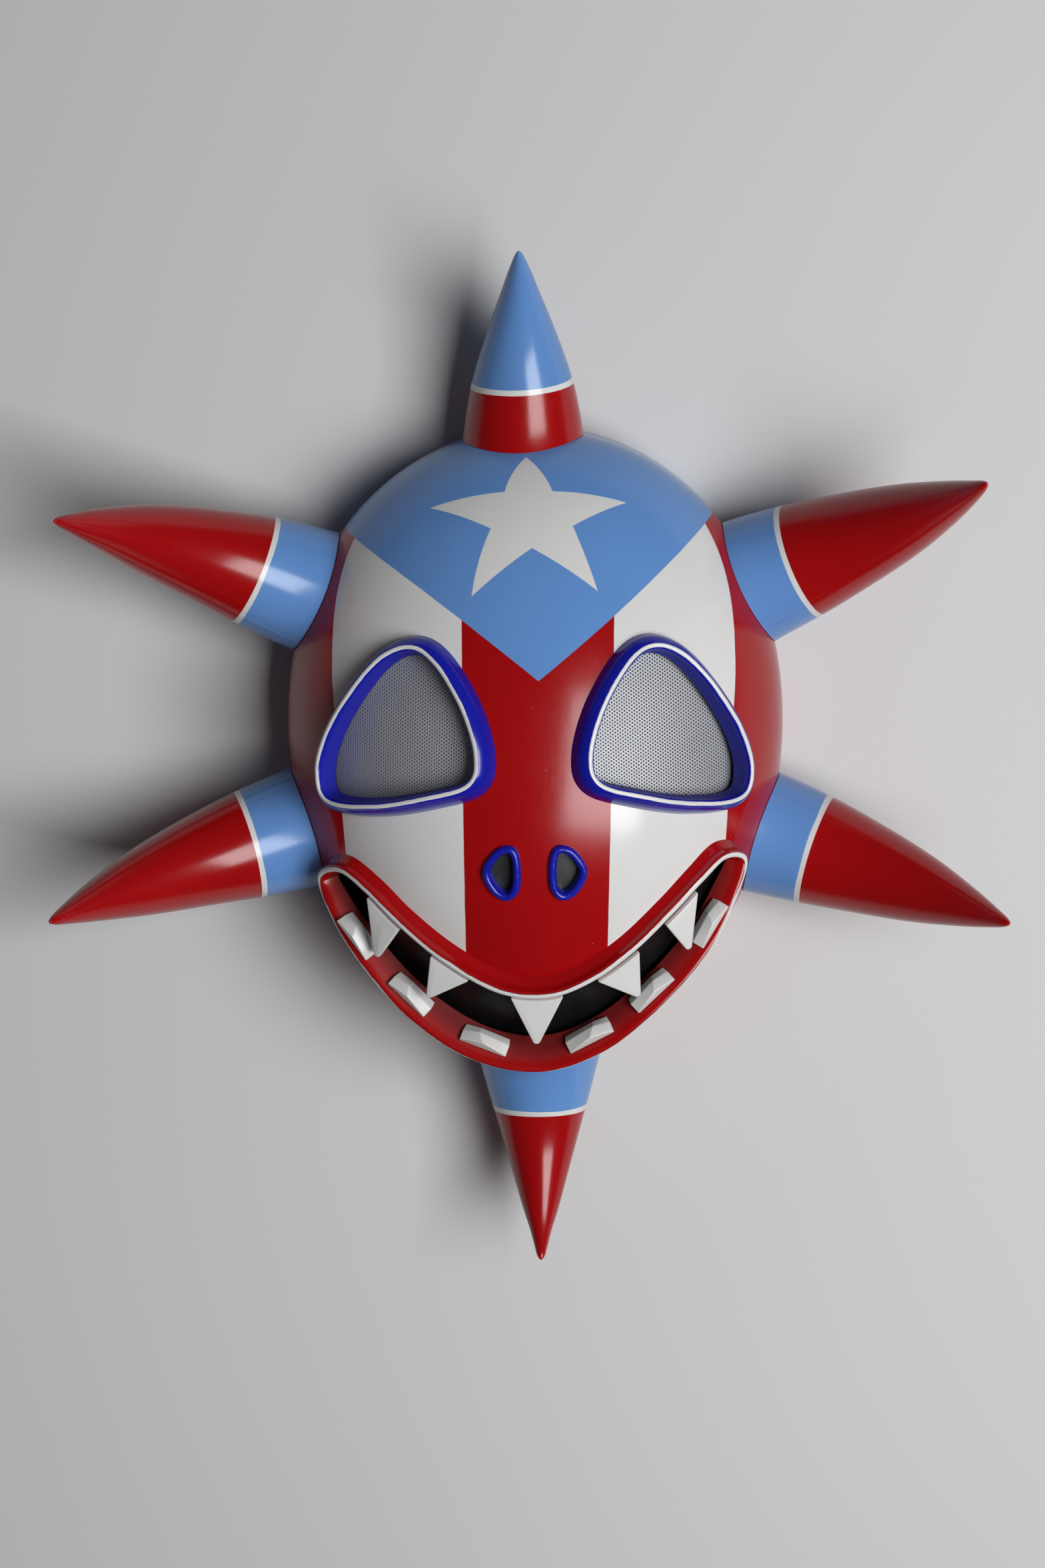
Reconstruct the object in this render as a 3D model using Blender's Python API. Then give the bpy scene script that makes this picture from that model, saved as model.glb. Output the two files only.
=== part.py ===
"""Vejigante mask, a horned carnival mask, lying face up on its back rim.

Metres, +Z out of the face, +Y towards the top horn, +X to the viewer's right.
The face is modelled about its own middle, and an empty at the end centres the whole mask.
"""

import math

import bmesh
import bpy
import numpy as np
from mathutils import Vector

# Face shell
SHELL_HALF_WIDTH = 0.138
SHELL_HALF_HEIGHT = 0.1795
SHELL_MIDDLE_Y = -0.0185
SHELL_SKIRT = 0.038
SHELL_CROWN = 0.110
SHELL_WALL = 0.004
BROW_FULLNESS = 0.0985
NOSE_FULLNESS = -0.05
CHIN_TAPER = 0.10
SHELL_SIDES = 60
SHELL_RINGS = 10

# Clearance between pieces that touch, and behind the plates that sit inside the shell
TOUCH_GAP = 0.0003
SEAT_GAP = 0.0004
PLATE_GAP = 0.0008

# Outlines are drawn in millimetres on a face of this size, and scale with the shell
DRAWN_HALF_WIDTH = 138.0
DRAWN_HALF_HEIGHT = 179.5
DRAWN_MIDDLE_Y = -18.5

# Steps of the smooth curve between two drawn points
CURVE_STEPS = 16

# Rims and lip share one section: a foot on the shell, a waist, a shoulder and a narrow rounded crest
WAIST_SHARE = 0.50
SHOULDER_SHARE = 0.88

# Eye rims, drawn for the right eye along the middle of the rim, with the rim's height there in metres
EYE_OUTLINE = [
    (59.4, 47.8, 0.0108), (74.7, 43.5, 0.0118), (90.5, 26.5, 0.0135), (105.0, 1.8, 0.0154),
    (110.9, -20.3, 0.0168), (105.8, -36.5, 0.0161), (81.5, -37.4, 0.0145), (52.1, -31.5, 0.0128),
    (30.3, -24.0, 0.0114), (26.1, -9.0, 0.0110), (32.7, 15.4, 0.0108), (46.4, 38.5, 0.0106),
]
EYE_RIM_OUTER_FOOT = 0.0062
EYE_RIM_INNER_FOOT = 0.0043
EYE_RIM_CREST = 0.0042
EYE_RIM_ROUNDING = 0.0006
EYE_TURN = math.radians(24.0)
EYE_LIFT = math.radians(4.3)
EYE_STEPS = 36
EYE_HOLE_COVER = 0.003

# Perforated eye plates
EYE_PLATE_THICKNESS = 0.001
EYE_PLATE_MARGIN = 0.003
EYE_PLATE_STEPS = 24
EYE_PLATE_RINGS = 2

# Nostril rims, drawn for the right nostril along the middle of the bead
NOSTRIL_OUTLINE = [
    (14.3, -58.8), (20.4, -61.6), (25.9, -71.2), (21.6, -81.2), (15.0, -85.0), (10.3, -80.5),
    (9.4, -70.5), (10.7, -61.4),
]
NOSTRIL_BEAD_WIDTH = 0.0046
NOSTRIL_BEAD_HEIGHT = 0.0034
NOSTRIL_STEPS = 20
BEAD_SHOULDER_SHARE = 0.55
BEAD_SHOULDER_WIDTH = 0.92
BEAD_TOP_WIDTH = 0.42

# Lip, drawn along the middle of the collar from the middle of the upper lip towards the viewer's
# right, with the collar's height there in metres
LIP_OUTLINE = [
    (3.1, -136.2, 0.0114), (23.8, -130.2, 0.0105), (46.9, -115.1, 0.0093), (69.2, -94.3, 0.0087),
    (85.4, -77.5, 0.0089), (97.5, -66.5, 0.0095), (107.0, -69.8, 0.0108), (99.5, -87.3, 0.0139),
    (85.3, -111.7, 0.0164), (62.1, -138.1, 0.0180), (32.5, -161.8, 0.0194), (2.5, -172.5, 0.0203),
    (-29.3, -166.7, 0.0201), (-60.5, -146.7, 0.0187), (-87.1, -118.5, 0.0163), (-104.2, -94.3, 0.0131),
    (-111.5, -78.5, 0.0100), (-100.7, -73.0, 0.0090), (-85.4, -83.3, 0.0094), (-69.5, -98.9, 0.0097),
    (-46.6, -117.5, 0.0102), (-19.8, -132.9, 0.0110),
]
LIP_OUTER_FOOT = 0.0055
LIP_INNER_FOOT = 0.0045
LIP_CREST = 0.0042
LIP_COVE = 0.0012
LIP_STEPS = 66
LIP_FINE_STEPS = 300
MOUTH_CUT_LIFT = math.radians(-30.0)

# How much of a rim's foot overhangs the edge of the hole in the shell
HOLE_COVER = 0.0015
CUT_ABOVE = 0.012
CUT_BELOW = 0.016

# Dark screen behind the mouth and the nostrils, drawn for the right half
SCREEN_OUTLINE = [
    (0.0, -49.5), (40.0, -51.5), (90.0, -57.5), (115.0, -74.0), (110.0, -98.0), (92.0, -122.0),
    (68.0, -147.0), (38.0, -170.0), (0.0, -180.0),
]
SCREEN_MIDDLE_Y = -118.0
SCREEN_THICKNESS = 0.0012
SCREEN_STEPS = 28
SCREEN_RINGS = 3

# Upper teeth: the two ends of each root and the tip, drawn in millimetres
UPPER_TEETH = [
    (((-85.2, -84.0), (-68.0, -100.5)), (-78.6, -116.8)),
    (((-51.5, -114.0), (-33.0, -126.5)), (-52.6, -136.8)),
    (((-12.3, -134.5), (12.5, -134.5)), (-0.2, -161.8)),
    (((29.8, -127.5), (50.8, -112.3)), (49.7, -137.0)),
    (((64.5, -99.0), (81.2, -81.8)), (75.2, -113.3)),
]
UPPER_TOOTH_THICKNESS = 0.0032
UPPER_TOOTH_TIP_RADIUS = 0.0022
UPPER_TOOTH_ROOT_LIFT = 0.0065
UPPER_TOOTH_TIP_LIFT = 0.0125
UPPER_TOOTH_EDGE = 0.0008
UPPER_TOOTH_ROOT_STEPS = 4
UPPER_TOOTH_TIP_STEPS = 4

# Lower teeth: the place of each along the lower lip, and which end its ridge is nearer to
LOWER_TEETH = [
    (-91.9, -110.4, -1), (-65.1, -142.1, -1), (-26.6, -167.2, -1),
    (29.0, -165.7, 1), (61.1, -141.8, 1), (90.5, -104.1, 1),
]
LOWER_TOOTH_LENGTH = 0.0270
LOWER_TOOTH_HEIGHT = 0.0105
LOWER_TOOTH_DEPTH = 0.0070
LOWER_TOOTH_END_DEPTH = 0.0040
LOWER_TOOTH_RIDGE_PLACE = 0.17
LOWER_TOOTH_FOOT = 0.0034
LOWER_TOOTH_EDGE = 0.0008
LOWER_TOOTH_NEAR_SHARE = 0.6
LOWER_TOOTH_FOOT_TAPER = 0.94

# Horns: place round the shell and pointing angle in degrees, length as seen from the front, base
# radius, forward tilt at the root and how much more it is at the tip in degrees, bow, and the kind
# of outline
HORNS = {
    "horn_top": (91.9, 90.3, 0.0965, 0.0337, 6.5, 50.0, 0.0, "spike"),
    "horn_bottom": (270.2, -89.8, 0.1033, 0.0334, -5.0, 50.0, 0.0, "cone"),
    "horn_upper_left": (149.4, 159.4, 0.1326, 0.0357, 12.0, 55.0, -0.0010, "tusk"),
    "horn_upper_right": (32.0, 26.7, 0.1284, 0.0364, 13.0, 53.0, -0.0037, "tusk"),
    "horn_lower_left": (193.7, -165.8, 0.1317, 0.0349, 12.0, 54.0, 0.0003, "tusk"),
    "horn_lower_right": (344.6, -15.4, 0.1291, 0.0353, 9.0, 55.0, -0.0023, "tusk"),
}
# Sections of each kind of horn: share of the length from the tip, share of the base radius
HORN_SHAPES = {
    "tusk": [(0.02, 0.085), (0.06, 0.160), (0.12, 0.262), (0.20, 0.379), (0.30, 0.508), (0.42, 0.628),
             (0.57, 0.747), (0.75, 0.870), (0.92, 0.952), (1.11, 1.020)],
    "spike": [(0.02, 0.062), (0.06, 0.118), (0.14, 0.215), (0.25, 0.335), (0.40, 0.505), (0.55, 0.665),
              (0.70, 0.807), (0.85, 0.910), (1.15, 1.050)],
    "cone": [(0.02, 0.055), (0.06, 0.100), (0.14, 0.185), (0.25, 0.310), (0.40, 0.455), (0.55, 0.595),
             (0.70, 0.730), (0.85, 0.865), (1.15, 1.100)],
}
HORN_AXIS_HEIGHT = 0.042
HORN_SIDES = 20
# Power that moves the fullest part of a horn's bow towards its tip
BOW_SKEW = 0.65


def clear_scene():
    """Remove every object that the file starts with."""
    for obj in list(bpy.data.objects):
        bpy.data.objects.remove(obj, do_unlink=True)


def paint(name, colour, roughness, metallic=0.0):
    """A Principled BSDF material with one colour."""
    material = bpy.data.materials.new(name)
    material.use_nodes = True
    shader = material.node_tree.nodes["Principled BSDF"]
    shader.inputs["Base Color"].default_value = (*colour, 1.0)
    shader.inputs["Roughness"].default_value = roughness
    shader.inputs["Metallic"].default_value = metallic
    material.diffuse_color = (*colour, 1.0)
    return material


def add_object(name, points, faces, material):
    """Make a mesh object whose faces all point outwards."""
    mesh = bpy.data.meshes.new(name)
    mesh.from_pydata([tuple(point) for point in points], [], faces)
    bm = bmesh.new()
    bm.from_mesh(mesh)
    bmesh.ops.recalc_face_normals(bm, faces=bm.faces)
    bm.to_mesh(mesh)
    bm.free()
    mesh.materials.append(material)
    obj = bpy.data.objects.new(name, mesh)
    bpy.context.scene.collection.objects.link(obj)
    return obj


def cut_away(obj, cutters):
    """Subtract the cutters from an object for good, and remove them."""
    for cutter in cutters:
        cut = obj.modifiers.new("cut", "BOOLEAN")
        cut.operation = "DIFFERENCE"
        cut.object = cutter
    graph = bpy.context.evaluated_depsgraph_get()
    cut_mesh = bpy.data.meshes.new_from_object(obj.evaluated_get(graph))
    obj.modifiers.clear()
    old_mesh = obj.data
    obj.data = cut_mesh
    bpy.data.meshes.remove(old_mesh)
    obj.data.name = obj.name
    for cutter in cutters:
        bpy.data.objects.remove(cutter, do_unlink=True)


def unit(vector):
    """The vector at length one."""
    return vector / np.linalg.norm(vector)


# The dome: an ellipsoid whose width and depth swell along its height, and whose chin tapers

def swell(share):
    """Width and depth factors at a height from -1, the chin, to 1, the brow."""
    return 1.0 + BROW_FULLNESS * share - CHIN_TAPER * min(share, 0.0) ** 2, 1.0 + NOSE_FULLNESS * share


def dome_depth(x, y):
    """Height of the shell's outer face above the back rim."""
    share = (y - SHELL_MIDDLE_Y) / SHELL_HALF_HEIGHT
    wide, deep = swell(share)
    left = 1.0 - share**2 - (x / (SHELL_HALF_WIDTH * wide)) ** 2
    return SHELL_SKIRT + SHELL_CROWN * deep * math.sqrt(max(left, 0.0))


def dome_normal(point):
    """Outward direction of the dome at a point on it."""
    x, y, z = point
    share = (y - SHELL_MIDDLE_Y) / SHELL_HALF_HEIGHT
    wide, deep = swell(share)
    widening = BROW_FULLNESS - 2.0 * CHIN_TAPER * min(share, 0.0)
    half_width = SHELL_HALF_WIDTH * wide
    crown = SHELL_CROWN * deep
    rise = z - SHELL_SKIRT
    slope_y = share - x**2 * widening / (half_width**2 * wide) - rise**2 * NOSE_FULLNESS / (crown**2 * deep)
    return unit(np.array([x / half_width**2, slope_y / SHELL_HALF_HEIGHT, rise / crown**2]))


def on_dome(x, y, lift=0.0):
    """The point over (x, y) on the dome, moved out along the dome's normal by lift."""
    point = np.array([x, y, dome_depth(x, y)])
    if lift:
        point = point + dome_normal(point) * lift
    return point


def from_drawing(x, y):
    """A drawn point in millimetres as a place on this shell in metres."""
    share = (y - DRAWN_MIDDLE_Y) / DRAWN_HALF_HEIGHT
    return x / DRAWN_HALF_WIDTH * SHELL_HALF_WIDTH, SHELL_MIDDLE_Y + share * SHELL_HALF_HEIGHT


def dome_ring(angle_down, turn):
    """A point of the dome by its angle down from the crown and its turn round it."""
    share = math.sin(angle_down) * math.sin(turn)
    wide, deep = swell(share)
    x = SHELL_HALF_WIDTH * wide * math.sin(angle_down) * math.cos(turn)
    y = SHELL_MIDDLE_Y + SHELL_HALF_HEIGHT * share
    return np.array([x, y, SHELL_SKIRT + SHELL_CROWN * deep * math.cos(angle_down)])


# Smooth closed outlines

def smooth_loop(points, count):
    """Points evenly spaced along a smooth closed curve through the given ones."""
    points = np.array(points, float)
    total = len(points)
    fine = []
    for index in range(total):
        before, start, end, after = (points[(index + step) % total] for step in (-1, 0, 1, 2))
        for t in np.linspace(0.0, 1.0, CURVE_STEPS, endpoint=False):
            bend = 2 * before - 5 * start + 4 * end - after
            twist = 3 * start - before - 3 * end + after
            fine.append(0.5 * (2 * start + (end - before) * t + bend * t**2 + twist * t**3))
    fine = np.array(fine + fine[:1])
    run = np.concatenate([[0.0], np.cumsum(np.linalg.norm(np.diff(fine[:, :2], axis=0), axis=1))])
    stops = np.linspace(0.0, run[-1], count, endpoint=False)
    return np.stack([np.interp(stops, run, fine[:, axis]) for axis in range(fine.shape[1])], axis=1)


def mirrored(points, side):
    """Points drawn for the right side, or their mirror image for the left."""
    if side > 0:
        return list(points)
    return [(-point[0], *point[1:]) for point in reversed(points)]


def both_halves(points):
    """A closed outline from its right half, which starts and ends on the middle line."""
    left_half = [(-point[0], *point[1:]) for point in reversed(points[1:-1])]
    return list(points) + left_half


def eye_direction(side):
    """The way that an eye rim stands out of the face."""
    forward = math.cos(EYE_TURN) * math.cos(EYE_LIFT)
    return np.array([side * math.sin(EYE_TURN) * math.cos(EYE_LIFT), math.sin(EYE_LIFT), forward])


def loop_frames(loop):
    """For each point of a loop: its place on the dome, the normal, and the way out of the opening."""
    places = [on_dome(point[0], point[1]) for point in loop]
    area = sum(a[0] * b[1] - b[0] * a[1] for a, b in zip(places, places[1:] + places[:1]))
    frames = []
    for index, place in enumerate(places):
        along = unit(places[(index + 1) % len(places)] - places[index - 1])
        normal = dome_normal(place)
        outward = unit(np.cross(along, normal)) * math.copysign(1.0, area)
        frames.append((place, normal, outward))
    return frames


def placed_loop(outline, count):
    """A drawn outline as an evenly spaced loop of (x, y, and any height) on this shell."""
    return smooth_loop([(*from_drawing(*point[:2]), *point[2:]) for point in outline], count)


def eye_loop(side, count):
    """The middle line of an eye rim's foot, with the rim's height at each point."""
    return placed_loop(mirrored(EYE_OUTLINE, side), count)


def nostril_loop(side):
    """The middle line of a nostril bead."""
    return placed_loop(mirrored(NOSTRIL_OUTLINE, side), NOSTRIL_STEPS)


def lip_loop(count):
    """The middle line of the lip's foot, with the lip's height at each point."""
    return placed_loop(LIP_OUTLINE, count)


def inset_loop(loop, inset):
    """A loop of (x, y) moved towards the inside of its opening, along the dome."""
    return [(place - outward * inset) for place, _, outward in loop_frames(loop)]


# Pieces

def make_shell(material):
    """The hollow face, open at the back, before its holes are cut."""
    turns = [2 * math.pi * index / SHELL_SIDES for index in range(SHELL_SIDES)]
    angles = [math.pi / 2 * (ring + 1) / SHELL_RINGS for ring in range(SHELL_RINGS)]
    outer = [[dome_ring(angle, turn) for turn in turns] for angle in angles]
    inner = [[point - dome_normal(point) * SHELL_WALL for point in ring] for ring in outer]
    outer.append([np.array([point[0], point[1], 0.0]) for point in outer[-1]])
    inner.append([np.array([point[0], point[1], 0.0]) for point in inner[-1]])
    crown = dome_ring(0.0, 0.0)
    points = [crown, crown - dome_normal(crown) * SHELL_WALL]
    for ring in outer + inner:
        points.extend(ring)

    def at(layer, ring, side):
        return 2 + (layer * len(outer) + ring) * SHELL_SIDES + side % SHELL_SIDES

    faces = []
    last = len(outer) - 1
    for side in range(SHELL_SIDES):
        for layer in (0, 1):
            faces.append((layer, at(layer, 0, side), at(layer, 0, side + 1)))
            for ring in range(last):
                faces.append((at(layer, ring, side), at(layer, ring + 1, side),
                              at(layer, ring + 1, side + 1), at(layer, ring, side + 1)))
        faces.append((at(0, last, side), at(1, last, side), at(1, last, side + 1), at(0, last, side + 1)))
    return add_object("face_shell", points, faces, material)


def make_plug(name, edge, direction, material):
    """A straight-sided block along one direction, used to cut a hole whose edge is given."""
    heights = [point @ direction for point in edge]
    top = max(heights) + CUT_ABOVE
    bottom = min(heights) - CUT_BELOW
    points = []
    for level in (bottom, top):
        points.extend(point + direction * (level - height) for point, height in zip(edge, heights))
    count = len(edge)
    faces = [tuple(range(count)), tuple(range(count, 2 * count))]
    for index in range(count):
        following = (index + 1) % count
        faces.append((index, following, count + following, count + index))
    return add_object(name, points, faces, material)


def make_collar(name, sections, material):
    """A closed ring through equal sections."""
    corners = len(sections[0])
    points = [point for section in sections for point in section]
    faces = []
    for step in range(len(sections)):
        following = (step + 1) % len(sections)
        for corner in range(corners):
            across = (corner + 1) % corners
            faces.append((step * corners + corner, step * corners + across,
                          following * corners + across, following * corners + corner))
    return add_object(name, points, faces, material)


def seated(point):
    """The point of the dome under a place beside it, lifted by the seat gap."""
    return on_dome(point[0], point[1], SEAT_GAP)


def collar_section(place, up, outward, foot, inner_foot, crest, height, swell_out):
    """The corners of a collar's section, whose outer side is rounded or hollowed by swell_out."""
    aside = unit(outward - up * (outward @ up))
    half = crest / 2
    return [
        seated(place + outward * foot),
        place + up * height * WAIST_SHARE + aside * ((foot + half) / 2 + swell_out),
        place + up * height * SHOULDER_SHARE + aside * half,
        place + up * height,
        place + up * height * SHOULDER_SHARE - aside * half,
        place + up * height * WAIST_SHARE - aside * (inner_foot + half) / 2,
        seated(place - outward * inner_foot),
    ]


def make_eye_rim(side, word, material):
    """The blue collar round an eye, standing out along the eye's own direction."""
    loop = eye_loop(side, EYE_STEPS)
    sections = []
    for (place, _, outward), (_, _, height) in zip(loop_frames(loop), loop):
        sections.append(collar_section(place, eye_direction(side), outward, EYE_RIM_OUTER_FOOT,
                                       EYE_RIM_INNER_FOOT, EYE_RIM_CREST, height, EYE_RIM_ROUNDING))
    return make_collar(f"eye_rim_{word}", sections, material)


def make_nostril_rim(side, word, material):
    """The blue bead round a nostril."""
    half = NOSTRIL_BEAD_WIDTH / 2
    height = NOSTRIL_BEAD_HEIGHT
    sections = []
    for place, normal, outward in loop_frames(nostril_loop(side)):
        sections.append([
            seated(place + outward * half),
            place + outward * half * BEAD_SHOULDER_WIDTH + normal * height * BEAD_SHOULDER_SHARE,
            place + outward * half * BEAD_TOP_WIDTH + normal * height,
            place - outward * half * BEAD_TOP_WIDTH + normal * height,
            place - outward * half * BEAD_SHOULDER_WIDTH + normal * height * BEAD_SHOULDER_SHARE,
            seated(place - outward * half),
        ])
    return make_collar(f"nostril_rim_{word}", sections, material)


def make_lip(material):
    """The red collar round the mouth: higher along the lower lip, with a hollowed outer side."""
    loop = lip_loop(LIP_STEPS)
    sections = []
    for (place, normal, outward), (_, _, height) in zip(loop_frames(loop), loop):
        sections.append(collar_section(place, normal, outward, LIP_OUTER_FOOT,
                                       LIP_INNER_FOOT, LIP_CREST, height, -LIP_COVE))
    return make_collar("lip", sections, material)


def make_plate(name, edge, middle, thickness, rings, material):
    """A thin plate that follows the inside of the shell, from its edge loop to its middle point."""
    depth = SHELL_WALL + PLATE_GAP
    count = len(edge)
    points = []
    for lift in (-depth, -depth - thickness):
        points.append(on_dome(*middle, lift))
        for ring in range(1, rings + 1):
            share = ring / rings
            for corner in edge:
                x, y = middle + (corner - middle) * share
                points.append(on_dome(x, y, lift))
    layer = 1 + rings * count
    faces = []
    for index in range(count):
        following = (index + 1) % count
        for base in (0, layer):
            faces.append((base, base + 1 + index, base + 1 + following))
            for ring in range(rings - 1):
                inner = base + 1 + ring * count
                outer = inner + count
                faces.append((inner + index, outer + index, outer + following, inner + following))
        rim = 1 + (rings - 1) * count
        faces.append((rim + index, layer + rim + index, layer + rim + following, rim + following))
    return add_object(name, points, faces, material)


def make_eye_plate(side, word, material):
    """The perforated sheet behind an eye, seated inside the shell."""
    edge = np.array(inset_loop(eye_loop(side, EYE_PLATE_STEPS), -EYE_PLATE_MARGIN))[:, :2]
    middle = np.mean(edge, axis=0)
    return make_plate(f"eye_mesh_{word}", edge, middle, EYE_PLATE_THICKNESS, EYE_PLATE_RINGS, material)


def make_screen(material):
    """The dark screen behind the mouth and the nostrils."""
    edge = placed_loop(both_halves(SCREEN_OUTLINE), SCREEN_STEPS)
    middle = np.array(from_drawing(0.0, SCREEN_MIDDLE_Y))
    return make_plate("mouth_screen", edge, middle, SCREEN_THICKNESS, SCREEN_RINGS, material)


def lip_frame_near(wanted, upper):
    """Place, normal, way out and height of the upper or lower lip where it is nearest to a point."""
    loop = lip_loop(LIP_FINE_STEPS)
    nearest = None
    for frame, (_, _, height) in zip(loop_frames(loop), loop):
        if (frame[2][1] > 0) == upper:
            distance = np.linalg.norm(frame[0][:2] - wanted)
            if nearest is None or distance < nearest[0]:
                nearest = (distance, *frame, height)
    return nearest[1:]


def inner_wall(normal, outward, height):
    """Directions up along the lip's inner wall, and squarely away from it into the mouth."""
    slope = math.atan2(LIP_INNER_FOOT - LIP_CREST / 2, height)
    wall = normal * math.cos(slope) + outward * math.sin(slope)
    away = normal * math.sin(slope) - outward * math.cos(slope)
    return wall, away


def tooth_root(share, root):
    """The point where an upper tooth's middle plane meets the lip, at a share of the root's length."""
    ends = [np.array(from_drawing(*end)) for end in root]
    place, normal, outward, height = lip_frame_near(ends[0] + (ends[1] - ends[0]) * share, True)
    wall, away = inner_wall(normal, outward, height)
    foot = place - outward * LIP_INNER_FOOT
    return foot + wall * UPPER_TOOTH_ROOT_LIFT + away * (UPPER_TOOTH_THICKNESS / 2 + TOUCH_GAP)


def rounded_tip(tip, left, right):
    """Points round a tooth's tip, between the sides that run up to the root's two ends."""
    to_left = unit(left - tip)
    to_right = unit(right - tip)
    middle = unit(to_left + to_right)
    half_angle = math.acos(float(np.clip(to_left @ to_right, -1.0, 1.0))) / 2
    centre = tip + middle * UPPER_TOOTH_TIP_RADIUS
    across = unit(to_left - to_right)
    reach = math.pi / 2 - half_angle
    points = []
    for step in range(UPPER_TOOTH_TIP_STEPS + 1):
        turn = reach * (2 * step / UPPER_TOOTH_TIP_STEPS - 1)
        points.append(centre + (across * math.sin(turn) - middle * math.cos(turn)) * UPPER_TOOTH_TIP_RADIUS)
    return points


def make_upper_tooth(number, root, tip, material):
    """A flat pointed plate that hangs from the inside of the upper lip."""
    tip_place = on_dome(*from_drawing(*tip), UPPER_TOOTH_TIP_LIFT)
    front = dome_normal(on_dome(*from_drawing(*tip)))
    shares = [step / UPPER_TOOTH_ROOT_STEPS for step in range(UPPER_TOOTH_ROOT_STEPS + 1)]
    roots = [tooth_root(share, root) for share in shares]
    outline = roots + rounded_tip(tip_place, roots[0], roots[-1])
    half = UPPER_TOOTH_THICKNESS / 2
    inside = np.mean(outline, axis=0)
    points = [point - front * half for point in outline]
    points += [point + front * (half - UPPER_TOOTH_EDGE) for point in outline]
    points += [point + front * half + unit(inside - point) * UPPER_TOOTH_EDGE for point in outline]
    count = len(outline)
    faces = [tuple(range(count)), tuple(range(2 * count, 3 * count))]
    for level in (0, count):
        for index in range(count):
            following = (index + 1) % count
            faces.append((level + index, level + following,
                          level + count + following, level + count + index))
    return add_object(f"upper_tooth_{number}", points, faces, material)


def make_lower_tooth(number, drawn, lean, material):
    """A chunky tooth with an off-centre ridge, on the inner wall of the lower lip."""
    place, normal, outward, height = lip_frame_near(np.array(from_drawing(*drawn)), False)
    along = unit(np.cross(normal, outward))
    along = along * math.copysign(1.0, along[0])
    wall, away = inner_wall(normal, outward, height)
    bulge = LOWER_TOOTH_LENGTH**2 / (8 * SHELL_HALF_WIDTH)
    foot = place - outward * LIP_INNER_FOOT + wall * LOWER_TOOTH_FOOT + away * (TOUCH_GAP + bulge)
    half = LOWER_TOOTH_LENGTH / 2
    far_depth = LOWER_TOOTH_END_DEPTH
    near_depth = LOWER_TOOTH_END_DEPTH * LOWER_TOOTH_NEAR_SHARE
    profile = [
        (-half * lean, 0.0), (-half * lean, far_depth),
        (LOWER_TOOTH_LENGTH * LOWER_TOOTH_RIDGE_PLACE * lean, LOWER_TOOTH_DEPTH),
        (half * lean, near_depth), (half * lean, 0.0),
    ]
    points = []
    for level, narrow in ((0.0, LOWER_TOOTH_FOOT_TAPER), (LOWER_TOOTH_HEIGHT, 1.0)):
        for run, depth in profile:
            points.append(foot + along * run * narrow + away * depth + wall * level)
    count = len(profile)
    faces = [tuple(range(count)), tuple(range(count, 2 * count))]
    for index in range(count):
        following = (index + 1) % count
        faces.append((index, following, count + following, count + index))
    tooth = add_object(f"lower_tooth_{number}", points, faces, material)
    bevel = tooth.modifiers.new("worn edges", "BEVEL")
    bevel.width = LOWER_TOOTH_EDGE
    bevel.segments = 1
    bevel.limit_method = "ANGLE"
    return tooth


def horn_climb(length, run, tilt, curl):
    """How far a horn's axis has risen where it is a share of its length out from its root."""
    return length / curl * math.log(math.cos(tilt) / math.cos(tilt + curl * run))


def make_horn(name, place, pointing, length, radius, tilt, curl, bow, kind, material):
    """One horn: round sections along an axis that curls forward, its root inside the shell for now."""
    edge = dome_ring(math.pi / 2, math.radians(place))
    base = np.array([edge[0], edge[1], HORN_AXIS_HEIGHT])
    heading = math.radians(pointing)
    tilt, curl = math.radians(tilt), math.radians(curl)
    flat = np.array([math.cos(heading), math.sin(heading), 0.0])
    upward = np.array([0.0, 0.0, 1.0])
    sideways = np.array([-flat[1], flat[0], 0.0])
    points = [base + flat * length + upward * horn_climb(length, 1.0, tilt, curl)]
    for share, thickness in HORN_SHAPES[kind]:
        run = 1.0 - share
        lean = tilt + curl * run
        bend = bow * math.sin(math.pi * min(share, 1.0) ** BOW_SKEW)
        middle = base + flat * length * run + upward * horn_climb(length, run, tilt, curl) + sideways * bend
        lift = flat * math.sin(lean) - upward * math.cos(lean)
        for side in range(HORN_SIDES):
            angle = 2 * math.pi * side / HORN_SIDES
            spoke = sideways * math.cos(angle) + lift * math.sin(angle)
            points.append(middle + spoke * radius * thickness)
    rings = len(HORN_SHAPES[kind])
    last = 1 + (rings - 1) * HORN_SIDES
    faces = [tuple(range(last, last + HORN_SIDES))]
    for side in range(HORN_SIDES):
        following = (side + 1) % HORN_SIDES
        faces.append((0, 1 + side, 1 + following))
        for start in range(1, last, HORN_SIDES):
            faces.append((start + side, start + HORN_SIDES + side,
                          start + HORN_SIDES + following, start + following))
    return add_object(name, points, faces, material)


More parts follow.
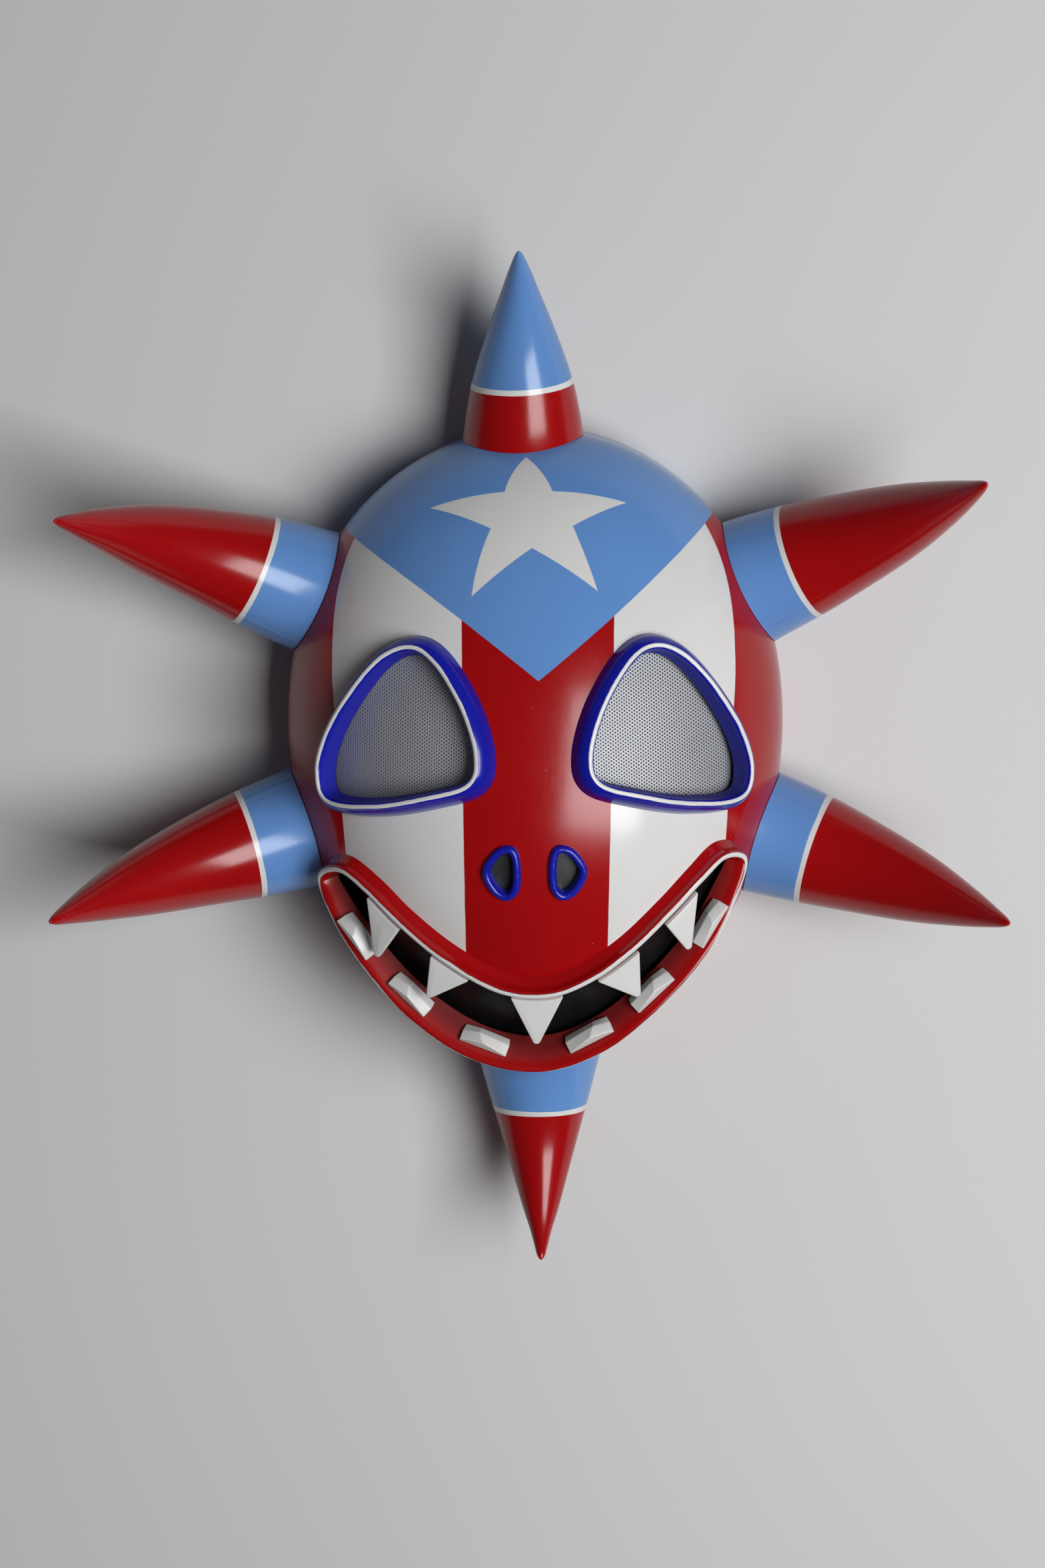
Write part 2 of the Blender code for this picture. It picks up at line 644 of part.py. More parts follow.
def make_shell_block(material):
    """The shell's outer form as one solid block, grown by the touching gap, to cut horn bases with."""
    turns = [2 * math.pi * index / SHELL_SIDES for index in range(SHELL_SIDES)]
    crown = dome_ring(0.0, 0.0)
    points = [crown + dome_normal(crown) * TOUCH_GAP]
    for ring in range(1, SHELL_RINGS + 1):
        for turn in turns:
            point = dome_ring(math.pi / 2 * ring / SHELL_RINGS, turn)
            points.append(point + dome_normal(point) * TOUCH_GAP)
    points += [np.array([point[0], point[1], -SHELL_SKIRT]) for point in points[-SHELL_SIDES:]]
    last = len(points) - SHELL_SIDES
    faces = [tuple(range(last, len(points)))]
    for side in range(SHELL_SIDES):
        following = (side + 1) % SHELL_SIDES
        faces.append((0, 1 + side, 1 + following))
        for start in range(1, last, SHELL_SIDES):
            faces.append((start + side, start + SHELL_SIDES + side,
                          start + SHELL_SIDES + following, start + following))
    return add_object("shell_block", points, faces, material)


def centre_mask(pieces):
    """Hang every piece on one empty, placed so that the mask's box stands centred on the origin."""
    bpy.context.view_layer.update()
    corners = np.array([vertex.co for piece in pieces for vertex in piece.data.vertices])
    middle = (corners.min(axis=0) + corners.max(axis=0)) / 2
    holder = bpy.data.objects.new("vejigante_mask", None)
    bpy.context.scene.collection.objects.link(holder)
    holder.location = Vector((-middle[0], -middle[1], -corners[:, 2].min()))
    for piece in pieces:
        piece.parent = holder


def main():
    clear_scene()
    red = paint("red enamel", (0.30, 0.006, 0.008), 0.28)
    blue = paint("royal blue enamel", (0.012, 0.014, 0.30), 0.25)
    white = paint("white tooth enamel", (0.72, 0.72, 0.70), 0.35)
    black = paint("black screen cloth", (0.006, 0.006, 0.007), 0.85)
    metal = paint("perforated aluminium", (0.42, 0.43, 0.45), 0.45, 1.0)
    sky = paint("sky blue enamel", (0.11, 0.25, 0.55), 0.28)

    shell = make_shell(red)
    pieces = [shell, make_lip(red), make_screen(black)]
    plugs = []
    for side, word in ((-1, "left"), (1, "right")):
        eye_edge = inset_loop(eye_loop(side, EYE_STEPS), EYE_RIM_INNER_FOOT - EYE_HOLE_COVER)
        plugs.append(make_plug(f"eye_plug_{word}", eye_edge, eye_direction(side), black))
        nostril_edge = inset_loop(nostril_loop(side), NOSTRIL_BEAD_WIDTH / 2 - HOLE_COVER)
        plugs.append(make_plug(f"nostril_plug_{word}", nostril_edge, np.array([0.0, 0.0, 1.0]), black))
        pieces.append(make_eye_rim(side, word, blue))
        pieces.append(make_eye_plate(side, word, metal))
        pieces.append(make_nostril_rim(side, word, blue))
    mouth_edge = inset_loop(lip_loop(LIP_STEPS), LIP_INNER_FOOT - HOLE_COVER)
    mouth_way = np.array([0.0, math.sin(MOUTH_CUT_LIFT), math.cos(MOUTH_CUT_LIFT)])
    plugs.append(make_plug("mouth_plug", mouth_edge, mouth_way, black))
    cut_away(shell, plugs)
    for number, (root, tip) in enumerate(UPPER_TEETH, 1):
        pieces.append(make_upper_tooth(number, root, tip, white))
    for number, (x, y, lean) in enumerate(LOWER_TEETH, 1):
        pieces.append(make_lower_tooth(number, (x, y), lean, white))
    for name, values in HORNS.items():
        horn = make_horn(name, *values, sky if name == "horn_top" else red)
        cut_away(horn, [make_shell_block(black)])
        pieces.append(horn)
    centre_mask(pieces)


main()
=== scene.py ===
"""Looks of a vejigante mask: enamel paint, raised rims, pierced eye sheets, teeth and horns."""

import math

import bmesh
import bpy
import numpy as np
from mathutils import Matrix, Vector
from mathutils.geometry import delaunay_2d_cdt


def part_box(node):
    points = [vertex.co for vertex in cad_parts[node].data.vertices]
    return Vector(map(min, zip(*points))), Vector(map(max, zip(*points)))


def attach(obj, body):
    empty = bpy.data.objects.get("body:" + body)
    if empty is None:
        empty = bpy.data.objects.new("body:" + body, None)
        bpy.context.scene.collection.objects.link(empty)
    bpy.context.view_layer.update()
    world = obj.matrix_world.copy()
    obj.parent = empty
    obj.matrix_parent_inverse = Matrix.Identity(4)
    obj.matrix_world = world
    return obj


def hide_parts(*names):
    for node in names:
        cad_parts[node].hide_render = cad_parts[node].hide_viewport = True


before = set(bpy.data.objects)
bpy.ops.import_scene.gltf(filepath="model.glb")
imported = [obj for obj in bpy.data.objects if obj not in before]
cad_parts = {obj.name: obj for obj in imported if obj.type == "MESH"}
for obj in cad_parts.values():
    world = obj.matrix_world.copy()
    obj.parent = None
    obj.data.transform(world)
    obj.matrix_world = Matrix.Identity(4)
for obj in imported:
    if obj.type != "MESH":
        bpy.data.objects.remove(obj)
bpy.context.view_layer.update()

MM = 0.001

# Face shell, in metres about the middle of the face
SHELL_HALF_WIDTH = 0.138
SHELL_HALF_HEIGHT = 0.1795
SHELL_MIDDLE_Y = -0.0185
SHELL_SKIRT = 0.038
SHELL_CROWN = 0.110
SHELL_WALL = 0.004
BROW_FULLNESS = 0.0985
NOSE_FULLNESS = -0.05
CHIN_TAPER = 0.10
SHELL_SIDES = 240
SHELL_RINGS = 64
SKIRT_STOPS = (0.025, 0.012, 0.0)
DOME_MIDDLE = np.array([0.0, SHELL_MIDDLE_Y, SHELL_SKIRT])

# Clearances
PLATE_GAP = 0.0008
SLEEVE_GAP = 0.0005
HORN_GAP = 0.0004
TOOTH_GAP = 0.0003
SEAT_GAP = 0.0001

# Holes through the shell: the way out of them, which is nearly the way the eyes and the mouth are looked
# into, how far the rims' feet reach over their edges, the points along each edge, and how far the blocks
# that cut them stand past it on both sides
HOLE_LIFT = math.radians(8.0)
HOLE_COVER = 0.0015
EYE_HOLE_COVER = 0.003
EYE_HOLE_STEPS = 150
NOSTRIL_HOLE_STEPS = 60
MOUTH_HOLE_STEPS = 240
CUT_ABOVE = 0.012
CUT_BELOW = 0.016
# Share of the way out to the shell's outer face below which a face counts as its bare inside
INSIDE_BELOW = 0.985

# Sections of a rim: heights of the waist and the shoulders as shares of the crest's, the crest's place
# among the corners, the steps between corners, the sleeve down through the shell, and how far past the
# inner foot the paint takes the sleeve to be
WAIST_SHARE = 0.50
SHOULDER_SHARE = 0.88
CREST_CORNER = 3
SECTION_STEPS = 5
SLEEVE_WALL = 0.0009
SLEEVE_ACROSS = 1.0

# Unevenness of hand work: waves round a loop, their size on a rim's height and as a share of a bead, and
# the seeds that they are drawn from
WAVES_ROUND = (3, 5, 8, 13, 21)
RIM_UNEVENNESS = 0.00012
BEAD_UNEVENNESS = 0.03
EYE_SEED = 3
LIP_SEED = 9
BEAD_WIDTH_SEED = 20
BEAD_HEIGHT_SEED = 25

# Degrees between faces over which the edge between them is sharp
SHARP_ANGLE = 40.0
RIM_SHARP_ANGLE = 50.0
SHEET_SHARP_ANGLE = 35.0

# Outlines are drawn in millimetres, with the height of a rim in metres as a third number
CURVE_STEPS = 24

EYE_OUTLINE = [
    (59.4, 47.8, 0.0108), (74.7, 43.5, 0.0118), (90.5, 26.5, 0.0135), (105.0, 1.8, 0.0154),
    (110.9, -20.3, 0.0168), (105.8, -36.5, 0.0161), (81.5, -37.4, 0.0145), (52.1, -31.5, 0.0128),
    (30.3, -24.0, 0.0114), (26.1, -9.0, 0.0110), (32.7, 15.4, 0.0108), (46.4, 38.5, 0.0106),
]
EYE_RIM_OUTER_FOOT = 0.0062
EYE_RIM_INNER_FOOT = 0.0043
EYE_RIM_CREST = 0.0042
EYE_RIM_ROUNDING = 0.0006
# The way that an eye rim stands out of the face: its turns outwards and upwards
EYE_TURN = math.radians(24.0)
EYE_LIFT = math.radians(4.3)
EYE_STEPS = 300

# Pierced sheet: round holes in upright staggered rows
SHEET_THICKNESS = 0.0008
SHEET_MARGIN = 0.003
SHEET_STEPS = 160
SHEET_BORDER = 0.0022
HOLE_RADIUS = 0.0005
HOLE_SIDES = 12
HOLE_COLUMN = 0.00150
HOLE_PITCH = 0.00192
# The sheet's triangles are those inside its outline, and points this near, in millimetres, are one
INSIDE_ONLY = 1
SAME_POINT = 1e-5

NOSTRIL_OUTLINE = [
    (14.3, -58.8), (20.4, -61.6), (25.9, -71.2), (21.6, -81.2), (15.0, -85.0), (10.3, -80.5),
    (9.4, -70.5), (10.7, -61.4),
]
NOSTRIL_BEAD_WIDTH = 0.0046
NOSTRIL_BEAD_HEIGHT = 0.0034
NOSTRIL_STEPS = 120
NOSTRIL_ARCH_STEPS = 12
NOSTRIL_ARCH_POWER = 0.8
NOSTRIL_SLEEVE_SHARE = 0.6

LIP_OUTLINE = [
    (3.1, -136.2, 0.0114), (23.8, -130.2, 0.0105), (46.9, -115.1, 0.0093), (69.2, -94.3, 0.0087),
    (85.4, -77.5, 0.0089), (97.5, -66.5, 0.0095), (107.0, -69.8, 0.0108), (99.5, -87.3, 0.0139),
    (85.3, -111.7, 0.0164), (62.1, -138.1, 0.0180), (32.5, -161.8, 0.0194), (2.5, -172.5, 0.0203),
    (-29.3, -166.7, 0.0201), (-60.5, -146.7, 0.0187), (-87.1, -118.5, 0.0163), (-104.2, -94.3, 0.0131),
    (-111.5, -78.5, 0.0100), (-100.7, -73.0, 0.0090), (-85.4, -83.3, 0.0094), (-69.5, -98.9, 0.0097),
    (-46.6, -117.5, 0.0102), (-19.8, -132.9, 0.0110),
]
LIP_OUTER_FOOT = 0.0055
LIP_INNER_FOOT = 0.0045
LIP_CREST = 0.0042
LIP_COVE = 0.0012
LIP_STEPS = 480
# On the lower lip the white line lies this many millimetres further out: not yet where the lip's outer
# side faces down by less than the first share, and fully where it does by the two shares together
LOWER_LINE_SHIFT = 1.7
LOWER_LINE_FROM = 0.2
LOWER_LINE_OVER = 0.5

SCREEN_OUTLINE = [
    (0.0, -49.5), (40.0, -51.5), (90.0, -57.5), (115.0, -74.0), (110.0, -98.0), (92.0, -122.0),
    (68.0, -147.0), (38.0, -170.0), (0.0, -180.0),
]
SCREEN_MIDDLE_Y = -0.118
SCREEN_THICKNESS = 0.0012
SCREEN_STEPS = 120
SCREEN_RINGS = 24
# The backing is painted a lighter grey behind the nostrils, as painted light where light comes in through
# them:
# half the patch's width, its lower edge and how softly it ends, in millimetres
LIT_PATCH_HALF_WIDTH = 36.0
LIT_PATCH_LOW_EDGE = -96.0
LIT_PATCH_SOFTNESS = 2.0

# Upper teeth: the two ends of each root and the tip
UPPER_TEETH = [
    (((-85.2, -84.0), (-68.0, -100.5)), (-78.6, -116.8)),
    (((-51.5, -114.0), (-33.0, -126.5)), (-52.6, -136.8)),
    (((-12.3, -134.5), (12.5, -134.5)), (-0.2, -161.8)),
    (((29.8, -127.5), (50.8, -112.3)), (49.7, -137.0)),
    (((64.5, -99.0), (81.2, -81.8)), (75.2, -113.3)),
]
UPPER_TOOTH_THICKNESS = 0.0032
UPPER_TOOTH_TIP_RADIUS = 0.0022
UPPER_TOOTH_ROOT_LIFT = 0.0065
UPPER_TOOTH_TIP_LIFT = 0.0125
UPPER_TOOTH_EDGE = 0.0007
UPPER_TOOTH_EDGE_STEPS = 3
UPPER_TOOTH_EDGE_ANGLE = 50.0
UPPER_TOOTH_ROOT_STEPS = 10
UPPER_TOOTH_TIP_STEPS = 10

# Lower teeth: the place of each along the lower lip, and which end its ridge is nearer to
LOWER_TEETH = [
    (-91.9, -110.4, -1), (-65.1, -142.1, -1), (-26.6, -167.2, -1),
    (29.0, -165.7, 1), (61.1, -141.8, 1), (90.5, -104.1, 1),
]
LOWER_TOOTH_LENGTH = 0.0270
LOWER_TOOTH_HEIGHT = 0.0105
LOWER_TOOTH_FOOT = 0.0034
LOWER_TOOTH_DEPTH = 0.0070
LOWER_TOOTH_TOP_DEPTH = 0.0080
LOWER_TOOTH_END_DEPTH = 0.0040
LOWER_TOOTH_EDGE = 0.0013
LOWER_TOOTH_EDGE_STEPS = 4
LOWER_TOOTH_EDGE_ANGLE = 20.0
# Shares of the length: how far from the middle the ridge is at the shoulder and at the top, and how long
# the foot is
LOWER_TOOTH_RIDGE_PLACE = 0.17
LOWER_TOOTH_TOP_RIDGE = 0.03
LOWER_TOOTH_FOOT_TAPER = 0.94
# Share of the height where the shoulder is
LOWER_TOOTH_SHOULDER = 0.45
# Shares of the depth: at the foot, at the end nearer to the ridge, and at the top's far end
LOWER_TOOTH_FOOT_DEPTH = 0.40
LOWER_TOOTH_NEAR_SHARE = 0.6
LOWER_TOOTH_TOP_TAPER = 0.35
LIP_FINE_STEPS = 600

# Horns: place round the shell and pointing angle in degrees, length as seen from the front, base
# radius, forward tilt at the root and how much more it is at the tip in degrees, bow, the kind of
# outline, and the painted ring: its share of the length at each side, and how much less it is in front
HORNS = {
    "horn_top": (91.9, 90.3, 0.0965, 0.0337, 6.5, 50.0, 0.0, "spike", (0.742, 0.7215, 0.050)),
    "horn_bottom": (270.2, -89.8, 0.1033, 0.0334, -5.0, 50.0, 0.0, "cone", (0.769, 0.7715, 0.030)),
    "horn_upper_left": (149.4, 159.4, 0.1326, 0.0357, 12.0, 55.0, -0.0010, "tusk", (0.747, 0.7755, 0.060)),
    "horn_upper_right": (32.0, 26.7, 0.1284, 0.0364, 13.0, 53.0, -0.0037, "tusk", (0.770, 0.809, 0.040)),
    "horn_lower_left": (193.7, -165.8, 0.1317, 0.0349, 12.0, 54.0, 0.0003, "tusk", (0.758, 0.765, 0.050)),
    "horn_lower_right": (344.6, -15.4, 0.1291, 0.0353, 9.0, 55.0, -0.0023, "tusk", (0.772, 0.785, 0.040)),
}
# Sections of each kind of horn: share of the length from the tip, share of the base radius
HORN_SHAPES = {
    "tusk": [(0.02, 0.085), (0.06, 0.160), (0.12, 0.262), (0.20, 0.379), (0.30, 0.508), (0.42, 0.628),
             (0.57, 0.747), (0.75, 0.870), (0.92, 0.952), (1.11, 1.020)],
    "spike": [(0.02, 0.062), (0.06, 0.118), (0.14, 0.215), (0.25, 0.335), (0.40, 0.505), (0.55, 0.665),
              (0.70, 0.807), (0.85, 0.910), (1.15, 1.050)],
    "cone": [(0.02, 0.066), (0.06, 0.107), (0.14, 0.185), (0.25, 0.310), (0.40, 0.455), (0.55, 0.595),
             (0.70, 0.730), (0.85, 0.865), (1.15, 1.100)],
}
HORN_AXIS_HEIGHT = 0.042
# The painted horns end this far inside their solids' tips
HORN_SHORTER = 0.0005
# Below one, a horn bows most nearer to its tip
BOW_SKEW = 0.65
HORN_SIDES = 96
HORN_RINGS = 90
HORN_CAP_RINGS = 6
# How the rings crowd towards the tip, how bluntly it ends, and its end as a share of the first section
HORN_RING_POWER = 1.4
HORN_TIP_POWER = 0.6
HORN_TIP_END = 0.2
HORN_PROFILE_STEPS = 8
# The shares of the length between which a side line comes to the shell, and the halvings that find it
HORN_MEETING = (0.4, 1.15)
HORN_HALVINGS = 40

# Flag pattern, in millimetres on the face: the triangle's tip, and each side's slope and its bend
TRIANGLE_TIP = (2.9, 30.6)
TRIANGLE_LEFT = (0.8199, -0.000976)
TRIANGLE_RIGHT = (0.7792, 0.000862)
# The red centre stripe: its left edge, its right edge, how much that one leans out for each millimetre
# further up, and the height at which it is where it is given
CENTRE_STRIPE_LEFT = -37.8
CENTRE_STRIPE_RIGHT = 41.0
CENTRE_STRIPE_FLARE = 0.0265
CENTRE_STRIPE_FLARE_FROM = -35.0
# The white stripes: how far out they reach, the height at which they do, how much less far for each
# millimetre below it, and how strongly they curve inwards above it
WHITE_STRIPE_REACH = 109.4
WHITE_STRIPE_FROM = 30.0
WHITE_STRIPE_TAPER = 0.062
WHITE_STRIPE_CURVE = 3.0e-5
# The curve round the chin where the white stripes end: its lowest point, and how far it has risen at a
# given way out from there
CHIN_MIDDLE = (3.0, -155.0)
CHIN_CORNER = (105.0, 83.0)
# Star: tips and inner corners in turn, and how far each edge from one to the next bows outwards
STAR = [
    (-3.1, 146.7, 1.1), (11.2, 128.9, 0.0), (51.2, 122.1, 0.0), (21.9, 110.8, 0.0), (35.0, 76.8, 0.0),
    (0.0, 99.7, 0.0), (-32.4, 74.7, 1.0), (-22.1, 109.9, 0.0), (-55.4, 120.1, 0.0), (-14.6, 128.8, 1.3),
]
STAR_OVERLAP = 1.0
PAINT_SOFTNESS = 0.12

# Hand-painted lines, in millimetres: how far they drift and how ragged they are, their half widths, the
# width of the painted shade beside one, how ragged a horn's ring is, as a share of that how ragged it is
# beside the cone, and its two edges
LINE_DRIFT = 1.3
LINE_RAGGEDNESS = 0.35
RIM_LINE_HALF_WIDTH = 1.15
LIP_LINE_HALF_WIDTH = 1.35
SHADE_EDGE_WIDTH = 0.35
RING_RAGGEDNESS = 0.3
RING_CONE_RAGGEDNESS = 0.3
RING_EDGES = (-1.6, 1.9)

# Enamel: relief of the brush marks, grain and dust specks in millimetres, the gloss that dents and brush
# marks take, how pale the specks are, how strongly it shines, and what dull paint adds to its roughness
BRUSH_RELIEF = 0.010
GRAIN_RELIEF = 0.004
SPECK_RELIEF = 0.05
DENT_GLOSS = 0.10
BRUSH_GLOSS = 0.06
SPECK_PALENESS = 0.45
SHINE = 0.43
DULLING = 0.45

# Where the paint inside a rim and the lip is dull, and where the lip's inner wall is darkened by painted
# shade
# towards the mouth: millimetres from the crest and the softness of that edge, and how much darker it is
RIM_DULL = (-4.0, 2.0)
LIP_DULL = (-7.0, 3.0)
LIP_PAINTED_SHADE = (-11.0, 7.0)
LIP_SHADE_STRENGTH = 0.58

# Linear colours
RED = (0.345, 0.0025, 0.0035)
SKY = (0.123, 0.278, 0.615)
CONE_SKY = (0.113, 0.256, 0.566)
WHITE = (0.700, 0.700, 0.690)
ROYAL = (0.0085, 0.0110, 0.340)
# Painted shade in the thin strip beside the lip's white line
SHADE_EDGE_BROWN = (0.090, 0.045, 0.035)
PAPER = (0.300, 0.250, 0.190)
PAPER_DARK = (0.150, 0.120, 0.090)
METAL = (0.454, 0.462, 0.478)
BLACK = (0.0045, 0.0045, 0.0050)
# Painted light: the black backing's lighter grey where light comes in through the nostrils
NOSTRIL_PAINTED_LIGHT = (0.022, 0.022, 0.021)
DUST = (0.620, 0.600, 0.580)
TOOTH_SHADE = (0.600, 0.600, 0.600)
FLOOR = (0.640, 0.640, 0.640)


def unit(vectors):
    """Vectors at length one."""
    return vectors / np.linalg.norm(vectors, axis=-1, keepdims=True)


def dot(first, second):
    """Dot products, kept as a column that vectors can be multiplied by."""
    return np.sum(first * second, axis=-1, keepdims=True)


# The dome: an ellipsoid whose width and depth swell along its height, and whose chin tapers

def swell(share):
    """Width and depth factors at a height from -1, the chin, to 1, the brow."""
    return 1.0 + BROW_FULLNESS * share - CHIN_TAPER * np.minimum(share, 0.0) ** 2, 1.0 + NOSE_FULLNESS * share


def dome_depth(x, y):
    """Height of the shell's outer face above the back rim."""
    share = (y - SHELL_MIDDLE_Y) / SHELL_HALF_HEIGHT
    wide, deep = swell(share)
    left = 1.0 - share**2 - (x / (SHELL_HALF_WIDTH * wide)) ** 2
    return SHELL_SKIRT + SHELL_CROWN * deep * np.sqrt(np.maximum(left, 0.0))


def dome_normal(points):
    """Outward directions of the dome at points on it."""
    x, y, z = points[..., 0], points[..., 1], points[..., 2]
    share = (y - SHELL_MIDDLE_Y) / SHELL_HALF_HEIGHT
    wide, deep = swell(share)
    widening = BROW_FULLNESS - 2.0 * CHIN_TAPER * np.minimum(share, 0.0)
    half_width = SHELL_HALF_WIDTH * wide
    crown = SHELL_CROWN * deep
    rise = z - SHELL_SKIRT
    slope = share - x**2 * widening / (half_width**2 * wide) - rise**2 * NOSE_FULLNESS / (crown**2 * deep)
    return unit(np.stack([x / half_width**2, slope / SHELL_HALF_HEIGHT, rise / crown**2], axis=-1))


def fullness(points):
    """How far out points lie: one on the shell's outer face, less inside it."""
    share = (points[..., 1] - SHELL_MIDDLE_Y) / SHELL_HALF_HEIGHT
    wide, deep = swell(share)
    rise = np.maximum(points[..., 2] - SHELL_SKIRT, 0.0)
    return (points[..., 0] / (SHELL_HALF_WIDTH * wide)) ** 2 + share**2 + (rise / (SHELL_CROWN * deep)) ** 2


def on_dome(x, y, lift=0.0):
    """The points over (x, y) on the dome, moved out along the dome's normal by lift."""
    x, y = np.broadcast_arrays(np.asarray(x, float), np.asarray(y, float))
    points = np.stack([x, y, dome_depth(x, y)], axis=-1)
    return points + dome_normal(points) * lift


def dome_ring(angle_down, turn):
    """Points of the dome by their angle down from the crown and their turn round it."""
    share = np.sin(angle_down) * np.sin(turn)
    wide, deep = swell(share)
    x = SHELL_HALF_WIDTH * wide * np.sin(angle_down) * np.cos(turn)
    y = SHELL_MIDDLE_Y + SHELL_HALF_HEIGHT * share
    z = SHELL_SKIRT + SHELL_CROWN * deep * np.cos(angle_down) * np.ones_like(turn)
    return np.stack([x, y, z], axis=-1)


# Smooth curves

def curve_between(before, start, end, after, t):
    """A point on the smooth curve from start to end."""
    bend = 2 * before - 5 * start + 4 * end - after
    twist = 3 * start - before - 3 * end + after
    return 0.5 * (2 * start + (end - before) * t + bend * t**2 + twist * t**3)


def smooth_loop(points, count):
    """Points evenly spaced along a smooth closed curve through the given ones."""
    points = np.array(points, float)
    total = len(points)
    fine = []
    for index in range(total):
        corners = [points[(index + step) % total] for step in (-1, 0, 1, 2)]
        for t in np.linspace(0.0, 1.0, CURVE_STEPS, endpoint=False):
            fine.append(curve_between(*corners, t))
    fine = np.array(fine + fine[:1])
    run = np.concatenate([[0.0], np.cumsum(np.linalg.norm(np.diff(fine[:, :2], axis=0), axis=1))])
    stops = np.linspace(0.0, run[-1], count, endpoint=False)
    return np.stack([np.interp(stops, run, fine[:, axis]) for axis in range(fine.shape[1])], axis=1)


def smooth_chain(corners, steps):
    """Smooth open curves through rows of corners, from the first corner to the last."""
    first = 2 * corners[:, :1] - corners[:, 1:2]
    last = 2 * corners[:, -1:] - corners[:, -2:-1]
    padded = np.concatenate([first, corners, last], axis=1)
    parts = []
    for index in range(corners.shape[1] - 1):
        four = [padded[:, index + step] for step in range(4)]
        for t in np.linspace(0.0, 1.0, steps, endpoint=False):
            parts.append(curve_between(*four, t))
    parts.append(corners[:, -1])
    return np.stack(parts, axis=1)


def uneven(count, size, seed):
    """A slow hand-made unevenness round a closed loop."""
    chance = np.random.default_rng(seed)
    turn = np.linspace(0.0, 2 * math.pi, count, endpoint=False)
    waves = np.zeros(count)
    for order in WAVES_ROUND:
        shift = chance.uniform(0.0, 2 * math.pi)
        strength = chance.uniform(0.5, 1.0)
        waves += np.sin(order * turn + shift) * strength / order**0.5
    return waves * size


def mirrored(points, side):
    """Points drawn for the right side, or their mirror image for the left."""
    if side > 0:
        return list(points)
    return [(-point[0], *point[1:]) for point in reversed(points)]


def both_halves(points):
    """A closed outline from its right half, which starts and ends on the middle line."""
    left_half = [(-point[0], *point[1:]) for point in reversed(points[1:-1])]
    return list(points) + left_half


def placed_loop(outline, count):
    """A drawn outline as an evenly spaced loop in metres."""
    return smooth_loop([(point[0] * MM, point[1] * MM, *point[2:]) for point in outline], count)


def loop_frames(loop):
    """The places of a loop on the dome, the normals there, and the ways out of the opening."""
    places = on_dome(loop[:, 0], loop[:, 1])
    ahead = np.roll(places, -1, axis=0)
    area = np.sum(places[:, 0] * ahead[:, 1] - ahead[:, 0] * places[:, 1])
    along = unit(ahead - np.roll(places, 1, axis=0))
    normals = dome_normal(places)
    return places, normals, unit(np.cross(along, normals)) * math.copysign(1.0, area)


def eye_direction(side):
    """The way that an eye rim stands out of the face."""
    forward = math.cos(EYE_TURN) * math.cos(EYE_LIFT)
    return np.array([side * math.sin(EYE_TURN) * math.cos(EYE_LIFT), math.sin(EYE_LIFT), forward])


def inset_loop(loop, inset):
    """A loop moved towards the inside of its opening, along the dome."""
    places, _, outward = loop_frames(loop)
    return places - outward * inset


# Mesh objects

def add_object(name, points, faces, materials, numbers=None):
    """A mesh object in the face's own frame, with numbers kept on its points for the paint."""
    mesh = bpy.data.meshes.new(name)
    mesh.from_pydata([tuple(point) for point in points], [], faces)
    bm = bmesh.new()
    bm.from_mesh(mesh)
    bmesh.ops.recalc_face_normals(bm, faces=bm.faces)
    bm.to_mesh(mesh)
    bm.free()
    for label, values in (numbers or {}).items():
        layer = mesh.attributes.new(label, "FLOAT", "POINT")
        layer.data.foreach_set("value", np.asarray(values, np.float32).ravel())
    for material in materials:
        mesh.materials.append(material)
    obj = bpy.data.objects.new(name, mesh)
    obj.location = FACE_ORIGIN
    bpy.context.scene.collection.objects.link(obj)
    return obj


def stack_faces(corners, levels):
    """The two ends and the sides of a solid made of outlines with equal corners, stacked on each other."""
    top = (levels - 1) * corners
    faces = [tuple(range(corners)), tuple(range(top, top + corners))]
    for index in range(corners):
        following = (index + 1) % corners
        for start in range(0, top, corners):
            above = start + corners
            faces.append((start + index, start + following, above + following, above + index))
    return faces


def shade_round(obj, degrees=SHARP_ANGLE):
    """Shade smooth, with sharp edges only where faces meet at more than this angle."""
    obj.data.shade_smooth()
    obj.data.set_sharp_from_angle(angle=math.radians(degrees))


def apply_modifiers(obj):
    """Make what the modifiers show the object's own mesh."""
    graph = bpy.context.evaluated_depsgraph_get()
    made = bpy.data.meshes.new_from_object(obj.evaluated_get(graph))
    obj.modifiers.clear()
    old = obj.data
    obj.data = made
    bpy.data.meshes.remove(old)
    obj.data.name = obj.name


def settle(obj, node):
    """Ride a finished piece on the mask, and hide the solid that it stands in place of."""
    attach(obj, "root")
    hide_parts(node)


def face_origin():
    """Where the middle of the face lies in the model, from the shell's own box."""
    low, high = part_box("face_shell")
    return Vector(((low[0] + high[0]) / 2, (low[1] + high[1]) / 2 - SHELL_MIDDLE_Y, 0.0))


FACE_ORIGIN = face_origin()


# Writing shader formulas

